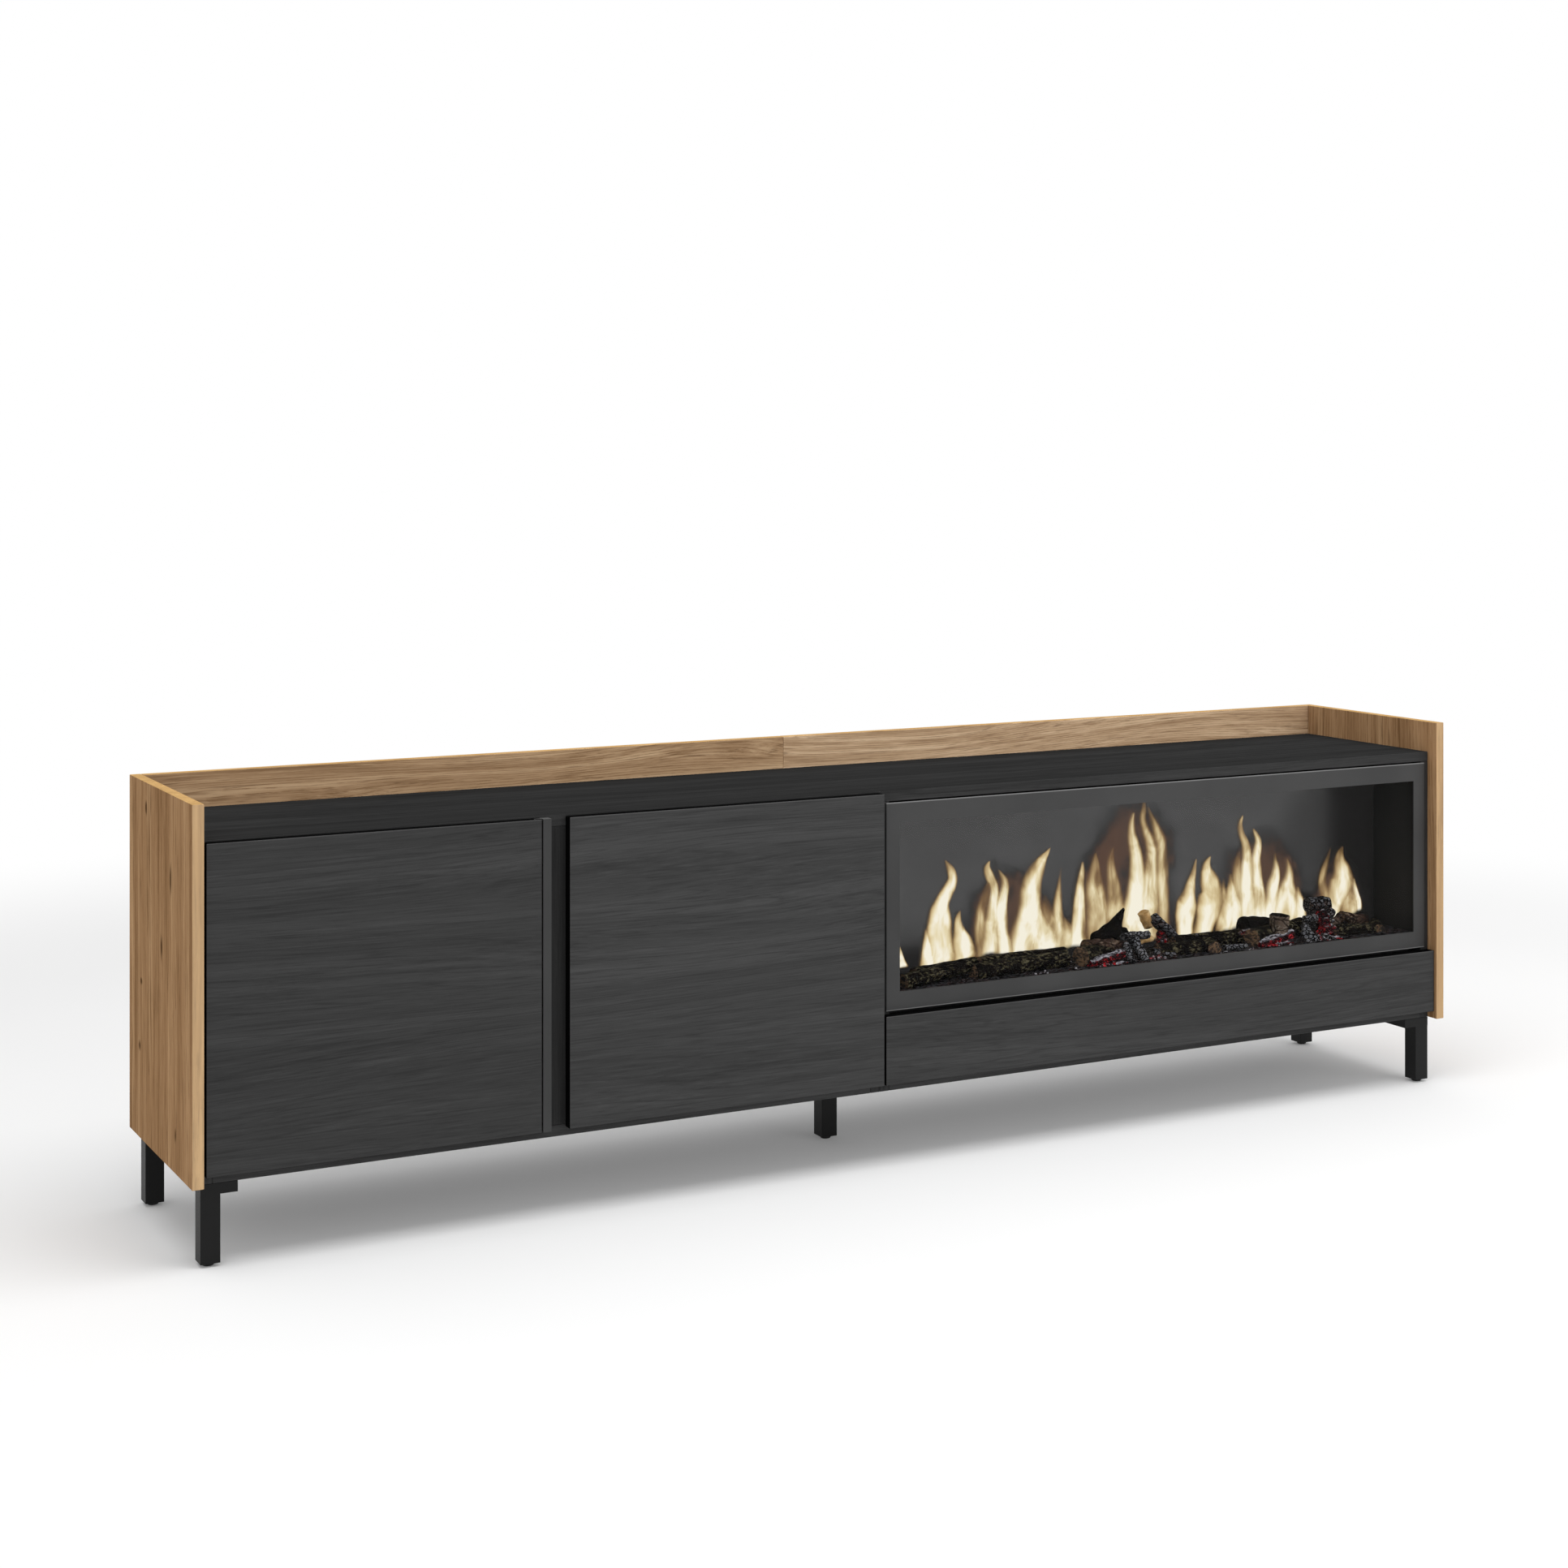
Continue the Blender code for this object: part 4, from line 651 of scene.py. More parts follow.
# each tongue runs from its root to its tip: (x, z, half its width) in mm
tongues = {
    "bright": (
        ((140, 244, 28.0), (138, 265, 21.2), (136, 286, 17.7), (136, 306, 16.5), (137, 326, 13.5),
         (141, 340, 9.7), (148, 352, 8.6), (156, 364, 7.7), (159, 374, 6.5), (156, 385, 5.6),
         (151, 393, 3.8), (146, 401, 0.9)),
        ((118, 245, 12.3), (115, 262, 8.8), (114, 280, 5.8), (113, 293, 2.9), (112, 303, 0.6)),
        ((180, 250, 17.3), (176, 267, 14.9), (173, 282, 12.5), (170, 295, 7.7), (168, 308, 5.0),
         (169, 317, 3.6), (172, 325, 0.6)),
        ((69, 250, 11.0), (69, 262, 5.8), (69, 273, 2.3), (69, 280, 0.6)),
        ((222, 244, 13.5), (222, 259, 13.5), (224, 283, 12.6), (226, 308, 10.2), (227, 328, 7.2),
         (230, 347, 6.0), (228, 361, 6.0), (222, 374, 6.0), (219, 385, 4.5), (223, 394, 0.9)),
        ((248, 244, 13.6), (248, 260, 13.6), (242, 284, 10.3), (241, 307, 9.7), (241, 324, 8.5),
         (245, 339, 6.6), (249, 353, 5.4), (248, 365, 4.5), (243, 373, 2.7), (239, 380, 0.6)),
        ((281, 244, 22.9), (281, 254, 22.9), (287, 277, 23.0), (292, 302, 19.0), (293, 325, 15.3),
         (295, 343, 15.0), (300, 361, 13.2), (309, 377, 10.4), (318, 390, 6.2), (326, 399, 3.1),
         (331, 406, 0.6)),
        ((312, 244, 29.3), (312, 253, 29.3), (312, 267, 27.1), (309, 283, 21.5), (308, 301, 13.8),
         (307, 316, 6.1), (306, 327, 1.2)),
        ((381, 244, 15.0), (381, 254, 15.0), (380, 271, 11.3), (382, 292, 9.1), (383, 315, 7.8),
         (384, 336, 6.3), (386, 354, 4.7), (389, 369, 3.1), (390, 381, 0.6)),
        ((478, 244, 14.4), (478, 256, 14.4), (478, 275, 16.0), (483, 296, 16.7), (487, 317, 14.4),
         (489, 338, 12.2), (489, 361, 10.3), (487, 385, 9.0), (483, 404, 7.7), (480, 420, 5.8),
         (480, 435, 4.2), (484, 450, 0.6)),
        ((510, 244, 13.6), (510, 265, 13.6), (510, 286, 15.5), (512, 309, 13.6), (513, 330, 11.6),
         (514, 351, 10.3), (516, 370, 9.0), (517, 388, 7.8), (512, 407, 6.8), (505, 423, 5.8),
         (501, 439, 5.1), (503, 452, 4.5), (504, 465, 1.6)),
        ((494, 244, 19.3), (494, 261, 19.3), (495, 279, 19.3), (497, 298, 14.5), (499, 313, 7.1),
         (500, 326, 1.3)),
        ((583, 247, 13.5), (582, 265, 12.9), (583, 284, 14.9), (586, 300, 14.2), (590, 316, 9.5),
         (594, 332, 6.8), (599, 348, 4.1), (604, 369, 0.7)),
        ((615, 244, 14.3), (615, 251, 14.3), (620, 267, 15.0), (626, 283, 17.8), (632, 302, 19.2),
         (634, 318, 15.8), (628, 335, 13.0), (624, 349, 8.9), (625, 360, 5.8), (632, 371, 0.7)),
        ((668, 244, 20.1), (668, 252, 20.1), (670, 271, 20.1), (671, 290, 16.6), (671, 304, 11.8),
         (671, 318, 7.6), (670, 329, 3.8), (669, 341, 0.7)),
        ((705, 244, 15.7), (705, 283, 15.7), (701, 302, 12.5), (699, 324, 11.1), (700, 346, 9.4),
         (701, 365, 7.3), (699, 385, 5.9), (692, 402, 4.5), (689, 416, 4.2), (695, 430, 0.7)),
        ((722, 244, 15.8), (722, 284, 15.8), (723, 302, 11.2), (720, 325, 8.7), (719, 345, 7.7),
         (719, 361, 6.6), (723, 378, 5.6), (724, 390, 4.5), (719, 401, 2.8), (715, 408, 0.7)),
        ((747, 244, 12.0), (747, 279, 12.0), (749, 298, 9.9), (752, 314, 9.2), (757, 329, 7.1),
         (759, 343, 4.9), (758, 355, 2.8), (757, 367, 0.7)),
        ((773, 244, 21.3), (773, 263, 21.3), (778, 281, 20.6), (780, 301, 15.6), (782, 316, 11.0),
         (785, 330, 7.1), (785, 342, 4.3), (781, 357, 0.7)),
        ((807, 244, 10.7), (807, 252, 10.7), (808, 267, 9.6), (807, 283, 7.8), (805, 296, 5.0),
         (803, 309, 1.1)),
        ((877, 243, 13.8), (874, 262, 12.3), (878, 278, 14.5), (886, 295, 18.2), (894, 311, 18.2),
         (894, 328, 13.8), (890, 343, 9.8), (892, 357, 5.5), (897, 367, 1.1)),
        ((929, 258, 4.7), (928, 274, 4.7), (924, 286, 3.9), (920, 301, 3.0), (918, 315, 0.6)),
    ),
    "soft": (
        ((216, 244, 14.4), (216, 263, 14.4), (209, 284, 10.2), (206, 305, 8.4), (209, 325, 7.8),
         (214, 342, 6.6), (219, 357, 4.2), (221, 367, 0.9)),
        ((344, 244, 19.2), (344, 251, 19.2), (344, 272, 13.6), (343, 293, 9.9), (344, 313, 7.4),
         (346, 334, 5.6), (348, 352, 3.1), (351, 375, 0.6)),
        ((364, 244, 25.0), (364, 255, 25.0), (361, 270, 18.7), (358, 286, 9.3), (356, 299, 1.2)),
        ((326, 244, 18.5), (326, 255, 18.5), (324, 276, 16.0), (323, 300, 13.6), (322, 320, 9.2),
         (321, 336, 1.5)),
        ((416, 244, 17.4), (416, 290, 17.4), (411, 310, 14.2), (407, 331, 11.3), (407, 352, 8.8),
         (411, 372, 6.3), (413, 393, 1.3)),
        ((422, 244, 15.8), (422, 291, 15.8), (425, 311, 8.2), (422, 333, 6.9), (417, 354, 6.3),
         (415, 372, 4.4), (414, 388, 1.3)),
        ((446, 244, 19.1), (446, 299, 19.1), (447, 320, 13.4), (445, 341, 10.2), (441, 362, 7.6),
         (440, 381, 5.1), (444, 399, 1.0)),
        ((539, 244, 10.0), (539, 304, 10.0), (536, 331, 11.4), (535, 361, 12.0), (534, 392, 10.7),
         (528, 416, 8.0), (518, 439, 4.7), (511, 456, 1.3)),
        ((573, 244, 5.4), (573, 285, 5.4), (573, 301, 6.1), (579, 314, 4.7), (583, 325, 1.4)),
        ((657, 244, 7.6), (657, 294, 7.6), (657, 311, 5.2), (656, 322, 3.1), (657, 333, 0.7)),
        ((694, 244, 13.9), (694, 291, 13.9), (687, 314, 11.8), (683, 336, 9.0), (684, 358, 6.2),
         (687, 375, 1.4)),
        ((796, 244, 14.2), (796, 260, 14.2), (794, 280, 12.1), (793, 297, 8.5), (792, 311, 4.3),
         (791, 325, 1.1)),
        ((865, 244, 8.5), (865, 269, 8.5), (862, 283, 8.5), (856, 300, 7.2), (854, 316, 5.9),
         (858, 333, 5.1), (865, 349, 3.4), (872, 367, 0.6)),
        ((910, 252, 21.5), (908, 272, 19.7), (908, 285, 15.0), (908, 299, 8.6), (903, 313, 1.7)),
    ),
    "halo": (
        ((239, 244, 45.5), (239, 266, 45.5), (233, 297, 39.3), (233, 323, 33.2), (242, 347, 28.8),
         (245, 367, 22.7), (236, 383, 13.6), (230, 397, 3.0)),
        ((302, 244, 64.8), (302, 260, 64.8), (290, 297, 43.0), (281, 329, 30.6), (275, 355, 21.4),
         (263, 374, 12.2), (254, 385, 2.4)),
        ((430, 244, 47.7), (430, 295, 47.7), (424, 327, 34.9), (430, 358, 33.3), (446, 388, 31.9),
         (468, 418, 35.2), (494, 445, 29.0), (510, 462, 19.4), (516, 467, 9.7)),
        ((503, 244, 42.0), (503, 268, 42.0), (503, 310, 38.8), (510, 352, 35.6), (520, 388, 35.7),
         (516, 420, 29.2), (510, 452, 19.4), (513, 467, 12.9)),
        ((722, 244, 56.3), (722, 289, 56.3), (722, 322, 52.7), (722, 350, 49.2), (729, 374, 42.2),
         (729, 394, 31.6), (726, 411, 10.5)),
        ((771, 244, 42.6), (771, 268, 42.6), (771, 307, 31.9), (768, 341, 28.3), (761, 372, 17.7),
         (757, 386, 2.8)),
        ((890, 244, 40.2), (890, 252, 40.2), (886, 286, 40.1), (886, 315, 31.0), (882, 343, 18.2),
         (882, 363, 2.9)),
    ),
}

flameSizes = {
    "Plane": -0.0428,       # rear face of the sheet
    "Left": 0.0040, "Right": 0.9580, "Low": 0.2435, "High": 0.4760,
    "Spacing": 0.0017,      # of the sheet's grid
    "Step": 0.0030,         # along a ribbon
    "Strands": 25,          # points across a ribbon
    "Spread": 1.46,         # how far the soft rim reaches past the measured width
    "Haze Spread": 0.22,    # and how much farther for the smoke round it
    "Relief": 0.0200,       # working depth that carries the heat from the ribbons to the sheet
    "Bulge": 0.0050,        # how far dense fire stands out of the sheet
}
tongueStrength = {"bright": 1.0, "soft": 0.58, "halo": 1.0}
tongueSeed = 0.37       # added from tongue to tongue, so that no two are alike inside


def makeFlameTree(sizes):
    tree, given = newShaper("flames from tongues", sizes)
    where, across, rise = shape(tree, "InputPosition"), named(tree, "across"), named(tree, "rise")
    # a flat ribbon along each tongue
    line = given("Geometry").then("MeshToCurve")
    line = line.then("CurveSplineType", spline_type="CATMULL_ROM")
    line = line.then("ResampleCurve", {"Length": given("Step")}, mode="LENGTH")
    line = line.then("SetCurveNormal", {"Normal": (0.0, 1.0, 0.0)}, mode="FREE")
    profile = shape(tree, "CurvePrimitiveLine", {"Start": (0.0, -1.0, 0.0), "End": (0.0, 1.0, 0.0)})
    profile = profile.then("ResampleCurve", {"Count": given("Strands")})
    profile = stored(profile, "across", where.part("Y"))
    spread = given("Spread") + named(tree, "hazy") * given("Haze Spread")
    ribbon = line.then("CurveToMesh", {"Profile Curve": profile, "Scale": named(tree, "halfWidth") * spread})
    ribbon = stored(ribbon, "flow", vectorOf(tree, across, rise, named(tree, "seed")), "FLOAT_VECTOR")
    # the hotter the fire, the farther the ribbon stands from the plane
    dense = (1.0 - across * across) * remap(rise, -0.02, 0.07, 0.25, 1.0)
    dense = dense * remap(rise, 0.40, 1.0, 1.0, 0.42) * named(tree, "strength")
    depth = given("Plane") - dense * given("Relief")
    ribbon = ribbon.then("SetPosition", {"Position": vectorOf(tree, where.part("X"), depth, where.part("Z"))})
    smoke = ribbon.then("SeparateGeometry", {"Selection": named(tree, "hazy") > 0.5})

    # the sheet: a fine grid that looks for the ribbons in front of it
    wide, tall = given("Right") - given("Left"), given("High") - given("Low")
    grid = shape(tree, "MeshGrid", {
        "Size X": wide, "Size Y": tall,
        "Vertices X": wide / given("Spacing"), "Vertices Y": tall / given("Spacing")})
    middle = vectorOf(
        tree, (given("Right") + given("Left")) / 2.0, given("Plane"), (given("High") + given("Low")) / 2.0)
    grid = grid.then("Transform", {"Translation": middle, "Rotation": (math.radians(90.0), 0.0, 0.0)})
    reach = 0.1     # far enough to pass every ribbon

    def cast(target):
        ray = target.then("Raycast", {
            "Attribute": named(tree, "flow", "FLOAT_VECTOR"),
            "Source Position": vectorMaths("ADD", where, (0.0, -reach, 0.0)),
            "Ray Direction": (0.0, 1.0, 0.0), "Ray Length": 2 * reach,
        }, data_type="FLOAT_VECTOR", mapping="INTERPOLATED")
        heat = (given("Plane") - ray.beside("Hit Position").part("Y")) / given("Relief")
        return heat * ray.beside("Is Hit"), ray.beside("Attribute")

    heat, drift = cast(smoke.beside("Inverted"))
    haze, _ = cast(smoke)
    grid = stored(grid, "warmth", heat)
    grid = stored(grid, "haze", haze)
    grid = stored(grid, "drift", drift, "FLOAT_VECTOR")
    both = maths("MAXIMUM", named(tree, "warmth"), named(tree, "haze"))
    grid = grid.then("DeleteGeometry", {"Selection": both < 0.0001}, domain="FACE")
    front = moved(grid, vectorOf(tree, 0.0, both * given("Bulge") * -1.0))
    shell = shape(tree, "JoinGeometry", {0: front})
    plug(shell.socket.node.inputs[0], grid.then("FlipFaces"))
    shell = shell.then("MergeByDistance", {"Distance": 0.00001})
    return endShaper(shell, given("Finish"), smooth=True)


flameColours = {
    "ramp": ((0.06, "#80592f"), (0.26, "#b28d5a"), (0.44, "#d9be8a"), (0.64, "#efe0b6"), (0.88, "#fff9e6")),
    "haze": "#5e483c", "smoke": "#2a2929",
    # where the fire ends above the logs: place along the burner, height (m)
    "feet": (
        (0.070, 0.2475), (0.106, 0.2405), (0.161, 0.2455), (0.198, 0.2460), (0.213, 0.2560),
        (0.262, 0.2500), (0.311, 0.2500), (0.393, 0.2515), (0.460, 0.2560), (0.575, 0.2440),
        (0.623, 0.2480), (0.693, 0.2530), (0.764, 0.2550), (0.814, 0.2478), (0.865, 0.2433),
        (0.932, 0.2600),
    ),
    "footSway": 0.012, "footFade": 0.008,   # how uneven that line is, and how softly it ends (m)
}


def makeFlameFinish():
    # light only: clear at the rims, brown-gold, then cream where the fire is dense
    material, shader, place = newFinish(
        "lit flame", Roughness=1.0, Specular_IOR_Level=0.0, Base_Color="#000000", Emission_Strength=1.0)
    tree = place.tree
    heat, haze = attribute(tree, "warmth"), attribute(tree, "haze")
    strands = noiseOf(attribute(tree, "drift", "Vector"), (1.5, 2.6, 9.0), 2.0, 0.5)
    curls = noiseOf(place, (52.0, 0.0, 24.0), 2.5, 0.5, 1.0)
    level = heat + (strands + curls - 1.0) * (heat * 1.05)
    thin = noiseOf(place, (34.0, 0.0, 15.0), 1.5, 0.5, 0.5, (5.0, 0.0, 2.0))
    level = level * remap(thin, 0.36, 0.58, 0.70, 1.06)
    cover = remap(level, 0.0, 0.80)
    # torn smoke round the fire
    mist = noiseOf(place, (16.0, 0.0, 12.0), 2.0, shift=(3.0, 0.0, 1.0))
    torn = noiseOf(place, (38.0, 0.0, 30.0), 3.0, 0.6)
    haze = haze + (torn - 0.62) * (remap(haze, 0.0, 0.3) * 1.1)
    warm = remap(haze, 0.24, 0.70)
    cloud = remap(haze, 0.0, 0.40, 0.0, 0.22) + warm * 0.46
    hazeCover = cloud * remap(mist, 0.25, 0.7, 0.55, 1.0)
    smoke = blendColour(warm, flameColours["smoke"], flameColours["haze"])
    # the fire ends above the logs in small feet
    feet = noiseOf(place, (60.0, 0.0, 5.0), 1.5)
    ground = ramped(place.part("X"), flameColours["feet"]) + (feet - 0.5) * flameColours["footSway"]
    lit = remap(place.part("Z") - ground, 0.0, flameColours["footFade"])
    solid = 1.0 - (1.0 - cover) * (1.0 - hazeCover)
    share = maths("DIVIDE", cover, maths("MAXIMUM", solid, 0.001), clamp=True)
    feed(shader, Alpha=solid * lit, Emission_Color=blendColour(
        share, smoke, ramped(level, flameColours["ramp"])))
    return material


def makeFlames():
    lines = []
    for kind, rows in tongues.items():
        for row in rows:
            seed = tongueSeed * len(lines)
            lines.append([
                ((x / 1000, flameSizes["Plane"], z / 1000), {
                    "halfWidth": width / 1000, "rise": step / (len(row) - 1), "seed": seed,
                    "strength": tongueStrength[kind], "hazy": kind == "halo",
                })
                for step, (x, z, width) in enumerate(row)
            ])
    sizes = {**flameSizes, "Finish": makeFlameFinish()}
    runShaper("flames", axesMesh("flame tongues", lines), makeFlameTree(sizes), sizes)


makeFlames()
print("flames made")


# the log bed: coals, logs, charred pieces, embers

logSizes = {
    "Sides": 20, "Steps": 30,
    "Sway": 0.0060,     # how far a log strays from its axis
    "Lumps": 0.0016,    # depth of the broad bumps
    "Bark": 0.0006,     # depth of the fine ones
}


def makeLogTree(sizes):
    tree, given = newShaper("logs from axes", sizes)
    where = shape(tree, "InputPosition")
    line = given("Geometry").then("MeshToCurve")
    line = line.then("ResampleCurve", {"Count": given("Steps")})
    sway = vectorMaths("SUBTRACT", noiseOf(where, 14.0, 1.0, out="Color"), (0.5, 0.5, 0.5))
    line = moved(line, scaled(sway, given("Sway")))
    profile = shape(tree, "CurvePrimitiveCircle", {"Resolution": given("Sides"), "Radius": 1.0})
    body = line.then("CurveToMesh", {
        "Profile Curve": profile, "Scale": named(tree, "radius"), "Fill Caps": True})
    # the caps are the only faces with more than five corners
    corners = shape(tree, "InputMeshFaceNeighbors", out="Vertex Count")
    body = stored(body, "cutEnd", corners > 5.0, "FLOAT", "FACE")
    body = roughened(body, (60.0, given("Lumps") * 2.0), (240.0, given("Bark") * 2.0))
    cutEnd = named(tree, "cutEnd")
    return endShaper(body, given("Finish"), smooth=cutEnd < 0.5, ends=(cutEnd > 0.5, given("End Finish")))


# (start, end, radius at the start, radius at the end) in mm, as the photo shows them from left to right
barkLogs = (
    ((30, -118, 246.6), (151, -100, 256.1), 11.7, 10.5), ((66, -85, 246.6), (180, -70, 249.6), 12.0, 11.0),
    ((152, -110, 247.0), (320, -100, 249.0), 12.9, 12.4), ((186, -70, 248.1), (343, -62, 247.6), 12.0, 11.0),
    ((339, -112, 252.6), (454, -62, 249.6), 14.6, 13.5), ((575, -108, 246.0), (483, -106, 248.6), 11.5, 11.0),
    ((524, -85, 250.1), (661, -80, 249.6), 13.5, 12.0), ((658, -112, 252.6), (794, -62, 251.1), 14.0, 13.0),
    ((825, -108, 246.0), (905, -104, 243.1), 10.5, 9.6), ((911, -114, 242.1), (937, -74, 243.6), 10.0, 9.0),
    ((577, -125, 245.6), (592, -90, 246.6), 10.2, 9.6),
)
charLogs = (
    ((498, -76, 291.1), (540, -82, 254.1), 9.2, 7.6), ((806, -64, 284.1), (848, -63, 281.1), 11.5, 10.5),
    ((569, -90, 255.0), (570, -90, 263.0), 3.4, 1.2), ((475, -108, 246.0), (508, -120, 239.0), 6.5, 4.5),
    ((820, -80, 250.0), (850, -70, 270.0), 8.5, 7.0),
)
ashyLogs = (
    ((446, -98, 267.0), (450, -124, 237.0), 8.2, 7.2), ((425, -106, 264.0), (424, -124, 238.0), 6.0, 6.6),
    ((424, -100, 272.6), (474, -97, 271.0), 6.4, 5.6), ((770, -98, 262.0), (772, -124, 236.1), 7.0, 6.6),
    ((757, -114, 254.0), (760, -126, 237.0), 4.8, 5.2), ((778, -90, 268.4), (804, -88, 267.4), 5.8, 5.4),
    ((790, -116, 248.0), (806, -127, 238.0), 4.6, 4.6), ((600, -118, 243.0), (640, -120, 243.0), 6.0, 4.5),
)
burntLogs = (
    ((414, -75, 266.0), (453, -62, 307.0), 20.0, 1.4), ((388, -80, 268.0), (448, -70, 266.0), 13.0, 15.0),
    ((678, -66, 257.6), (752, -66, 255.6), 19.0, 13.0),
)
brownLogs = (
    ((364, -88, 258.0), (436, -84, 259.0), 14.0, 11.5),
    ((868, -72, 261.0), (921, -68, 250.0), 9.4, 8.2), ((838, -84, 246.0), (868, -70, 262.0), 8.0, 6.5),
)
blockLogs = (
    ((716, -109, 252.0), (717, -108, 281.0), 13.5, 16.5), ((836, -96, 244.0), (840, -94, 262.0), 6.0, 8.0),
)
tanLogs = (
    ((484, -70, 300.0), (492, -72, 276.0), 9.5, 6.5), ((452, -90, 262.0), (486, -86, 262.0), 5.2, 4.4),
)
glowLogs = (
    ((348, -121, 243.0), (413, -115, 253.0), 6.4, 6.6), ((662, -121, 244.0), (737, -115, 253.0), 6.4, 7.0),
    ((806, -122, 240.0), (824, -126, 238.0), 4.5, 4.0),
)
redLogs = (
    ((500, -98, 240.0), (512, -76, 268.0), 9.0, 7.5), ((812, -110, 239.0), (822, -76, 272.0), 9.5, 8.5),
    ((392, -126, 237.0), (414, -124, 237.5), 5.0, 4.5), ((700, -126, 237.0), (728, -124, 237.5), 5.0, 4.5),
    ((640, -84, 250.0), (676, -84, 254.0), 6.0, 6.0),
)


def logLines(rows):
    return [
        [(metres(start), {"radius": thick / 1000}), (metres(end), {"radius": thin / 1000})]
        for start, end, thick, thin in rows
    ]


def makeBark(name, crackSize, ash, flecks, tones):
    # burnt wood: dull, cracked, with clusters of pale flecks
    material, shader, place = newFinish(name, Roughness=0.92, Specular_IOR_Level=0.03)
    fleck = noiseOf(place, (170.0, 300.0, 300.0), 3.0, 0.6)
    cracks = addNode(place.tree, "ShaderNodeTexVoronoi", {
        "Vector": stretched(place, (0.6, 1.0, 1.0)), "Scale": 1 / crackSize, "Randomness": 1.0,
    }, "Distance", feature="DISTANCE_TO_EDGE")
    base = ramped(noiseOf(place, 55.0, 4.0, 0.6), tones)
    spots = remap(fleck, 0.49, 0.58) * remap(noiseOf(place, 52.0, 2.0), 0.43, 0.56)
    base = blendColour(spots, base, flecks)
    base = glazed(base, "#060505", cracks, 0.10, 0.0, 0.85)
    if ash:
        rim = remap(cracks, 0.08, 0.20) * remap(cracks, 0.42, 0.26)
        dust = rim * remap(upwardOf(place.tree), -0.3, 0.7, 0.25, 1.0)
        base = blendColour(dust * ash, base, "#a9abb2")
    feed(shader, Base_Color=base)
    addBump(shader, remap(cracks, 0.0, 0.14) + fleck, 0.9, 0.0014)
    return material


def makeCutEnd():
    # sawn end of a burnt log: pale rings and dark cracks
    material, shader, place = newFinish("sawn log end", Roughness=0.9)
    rings = noiseOf(place, (260.0, 90.0, 260.0), 2.0, 0.5, 1.2)
    cracks = noiseOf(place, 130.0, 4.0, 0.7)
    base = blendColour(remap(rings, 0.40, 0.60), "#1f1610", "#74593f")
    feed(shader, Base_Color=blendColour(remap(cracks, 0.48, 0.36, 0.0, 0.9), base, "#120d0a"))
    addBump(shader, rings, 0.4, 0.0006)
    return material


emberRed = ((0.42, "#000000"), (0.50, "#3c0406"), (0.60, "#96161d"), (0.72, "#d8464e"), (0.84, "#f78f8c"))


def makeEmber():
    # coals: grey-white ash over dark cinder, with red light in the clefts
    material, shader, place = newFinish("glowing embers and ash", Roughness=0.95, Specular_IOR_Level=0.05)
    grain = noiseOf(place, 300.0, 4.0, 0.65)
    patch = noiseOf(place, 150.0, 3.0, 0.6)
    heat = attribute(place.tree, "glow")
    dusty = remap(grain, 0.35, 0.60) * remap(upwardOf(place.tree), 0.0, 0.75, 0.12, 1.0)
    ash = blendColour(dusty, "#121010", "#b9b6bc")
    feed(shader, Base_Color=blendColour(heat * remap(patch, 0.44, 0.54), ash, "#100202"),
         Emission_Color=ramped(patch, emberRed), Emission_Strength=heat)
    addBump(shader, grain, 0.7, 0.0008)
    return material


def makeGlowingLog(name, ashFrom, cooler):
    # half burnt log: white ash along its top, red light in the cracks below
    material, shader, place = newFinish(name, Roughness=0.95, Specular_IOR_Level=0.05)
    grain = noiseOf(place, (120.0, 260.0, 260.0), 4.0, 0.65)
    patch = noiseOf(place, (150.0, 200.0, 240.0), 3.0, 0.7)
    upward = upwardOf(place.tree)
    dusty = remap(grain, 0.40, 0.64) * remap(upward, ashFrom, ashFrom + 0.35)
    feed(shader, Base_Color=blendColour(dusty, "#151011", "#b4b2ba"),
         Emission_Color=ramped(patch - cooler, emberRed),
         Emission_Strength=remap(upward, ashFrom + 0.25, ashFrom - 0.15))
    addBump(shader, grain + patch, 0.9, 0.0016)
    return material


barkKinds = {
    # name, size of the cracks, ash on their rims, flecks, tones from the clefts to the top
    "bark": (
        "scorched bark", 0.0075, 0.0, "#5b5540", ((0.36, "#060504"), (0.54, "#0f0c0a"), (0.74, "#211b15"))),
    "char": (
        "charred wood", 0.0060, 0.35, "#4a3a34", ((0.30, "#070606"), (0.6, "#141110"), (0.85, "#2a2422"))),
    "ashy": (
        "ash-ribbed char", 0.0050, 0.42, "#5c5856", ((0.30, "#080707"), (0.6, "#171616"), (0.85, "#34302f"))),
    "burnt": ("burnt slab", 0.0100, 0.0, "#1c1511", ((0.30, "#050505"), (0.6, "#0b0a09"), (0.85, "#17120f"))),
    "brown": (
        "half burnt brown wood", 0.0090, 0.0, "#7c6a5a",
        ((0.32, "#1c1410"), (0.54, "#41312a"), (0.76, "#6c5546"))),
    "block": (
        "scorched sawn block", 0.0140, 0.0, "#81766a",
        ((0.34, "#453a32"), (0.54, "#5f5146"), (0.74, "#75655a"))),
    "tan": (
        "split pale wood", 0.0450, 0.0, "#d9c296", ((0.30, "#8a6a44"), (0.50, "#c39c66"), (0.74, "#ecd2a2"))),
    "coal": (
        "coal and ash bed", 0.0065, 0.10, "#3a2622",
        ((0.34, "#040303"), (0.58, "#0d0b0a"), (0.80, "#241f1b"))),
}
logFinishes = {kind: makeBark(*row) for kind, row in barkKinds.items()}
logFinishes["cut"] = makeCutEnd()
logFinishes["glow"] = makeGlowingLog("ash-topped glowing log", 0.34, 0.045)
logFinishes["red"] = makeGlowingLog("log burning through", 0.70, 0.07)

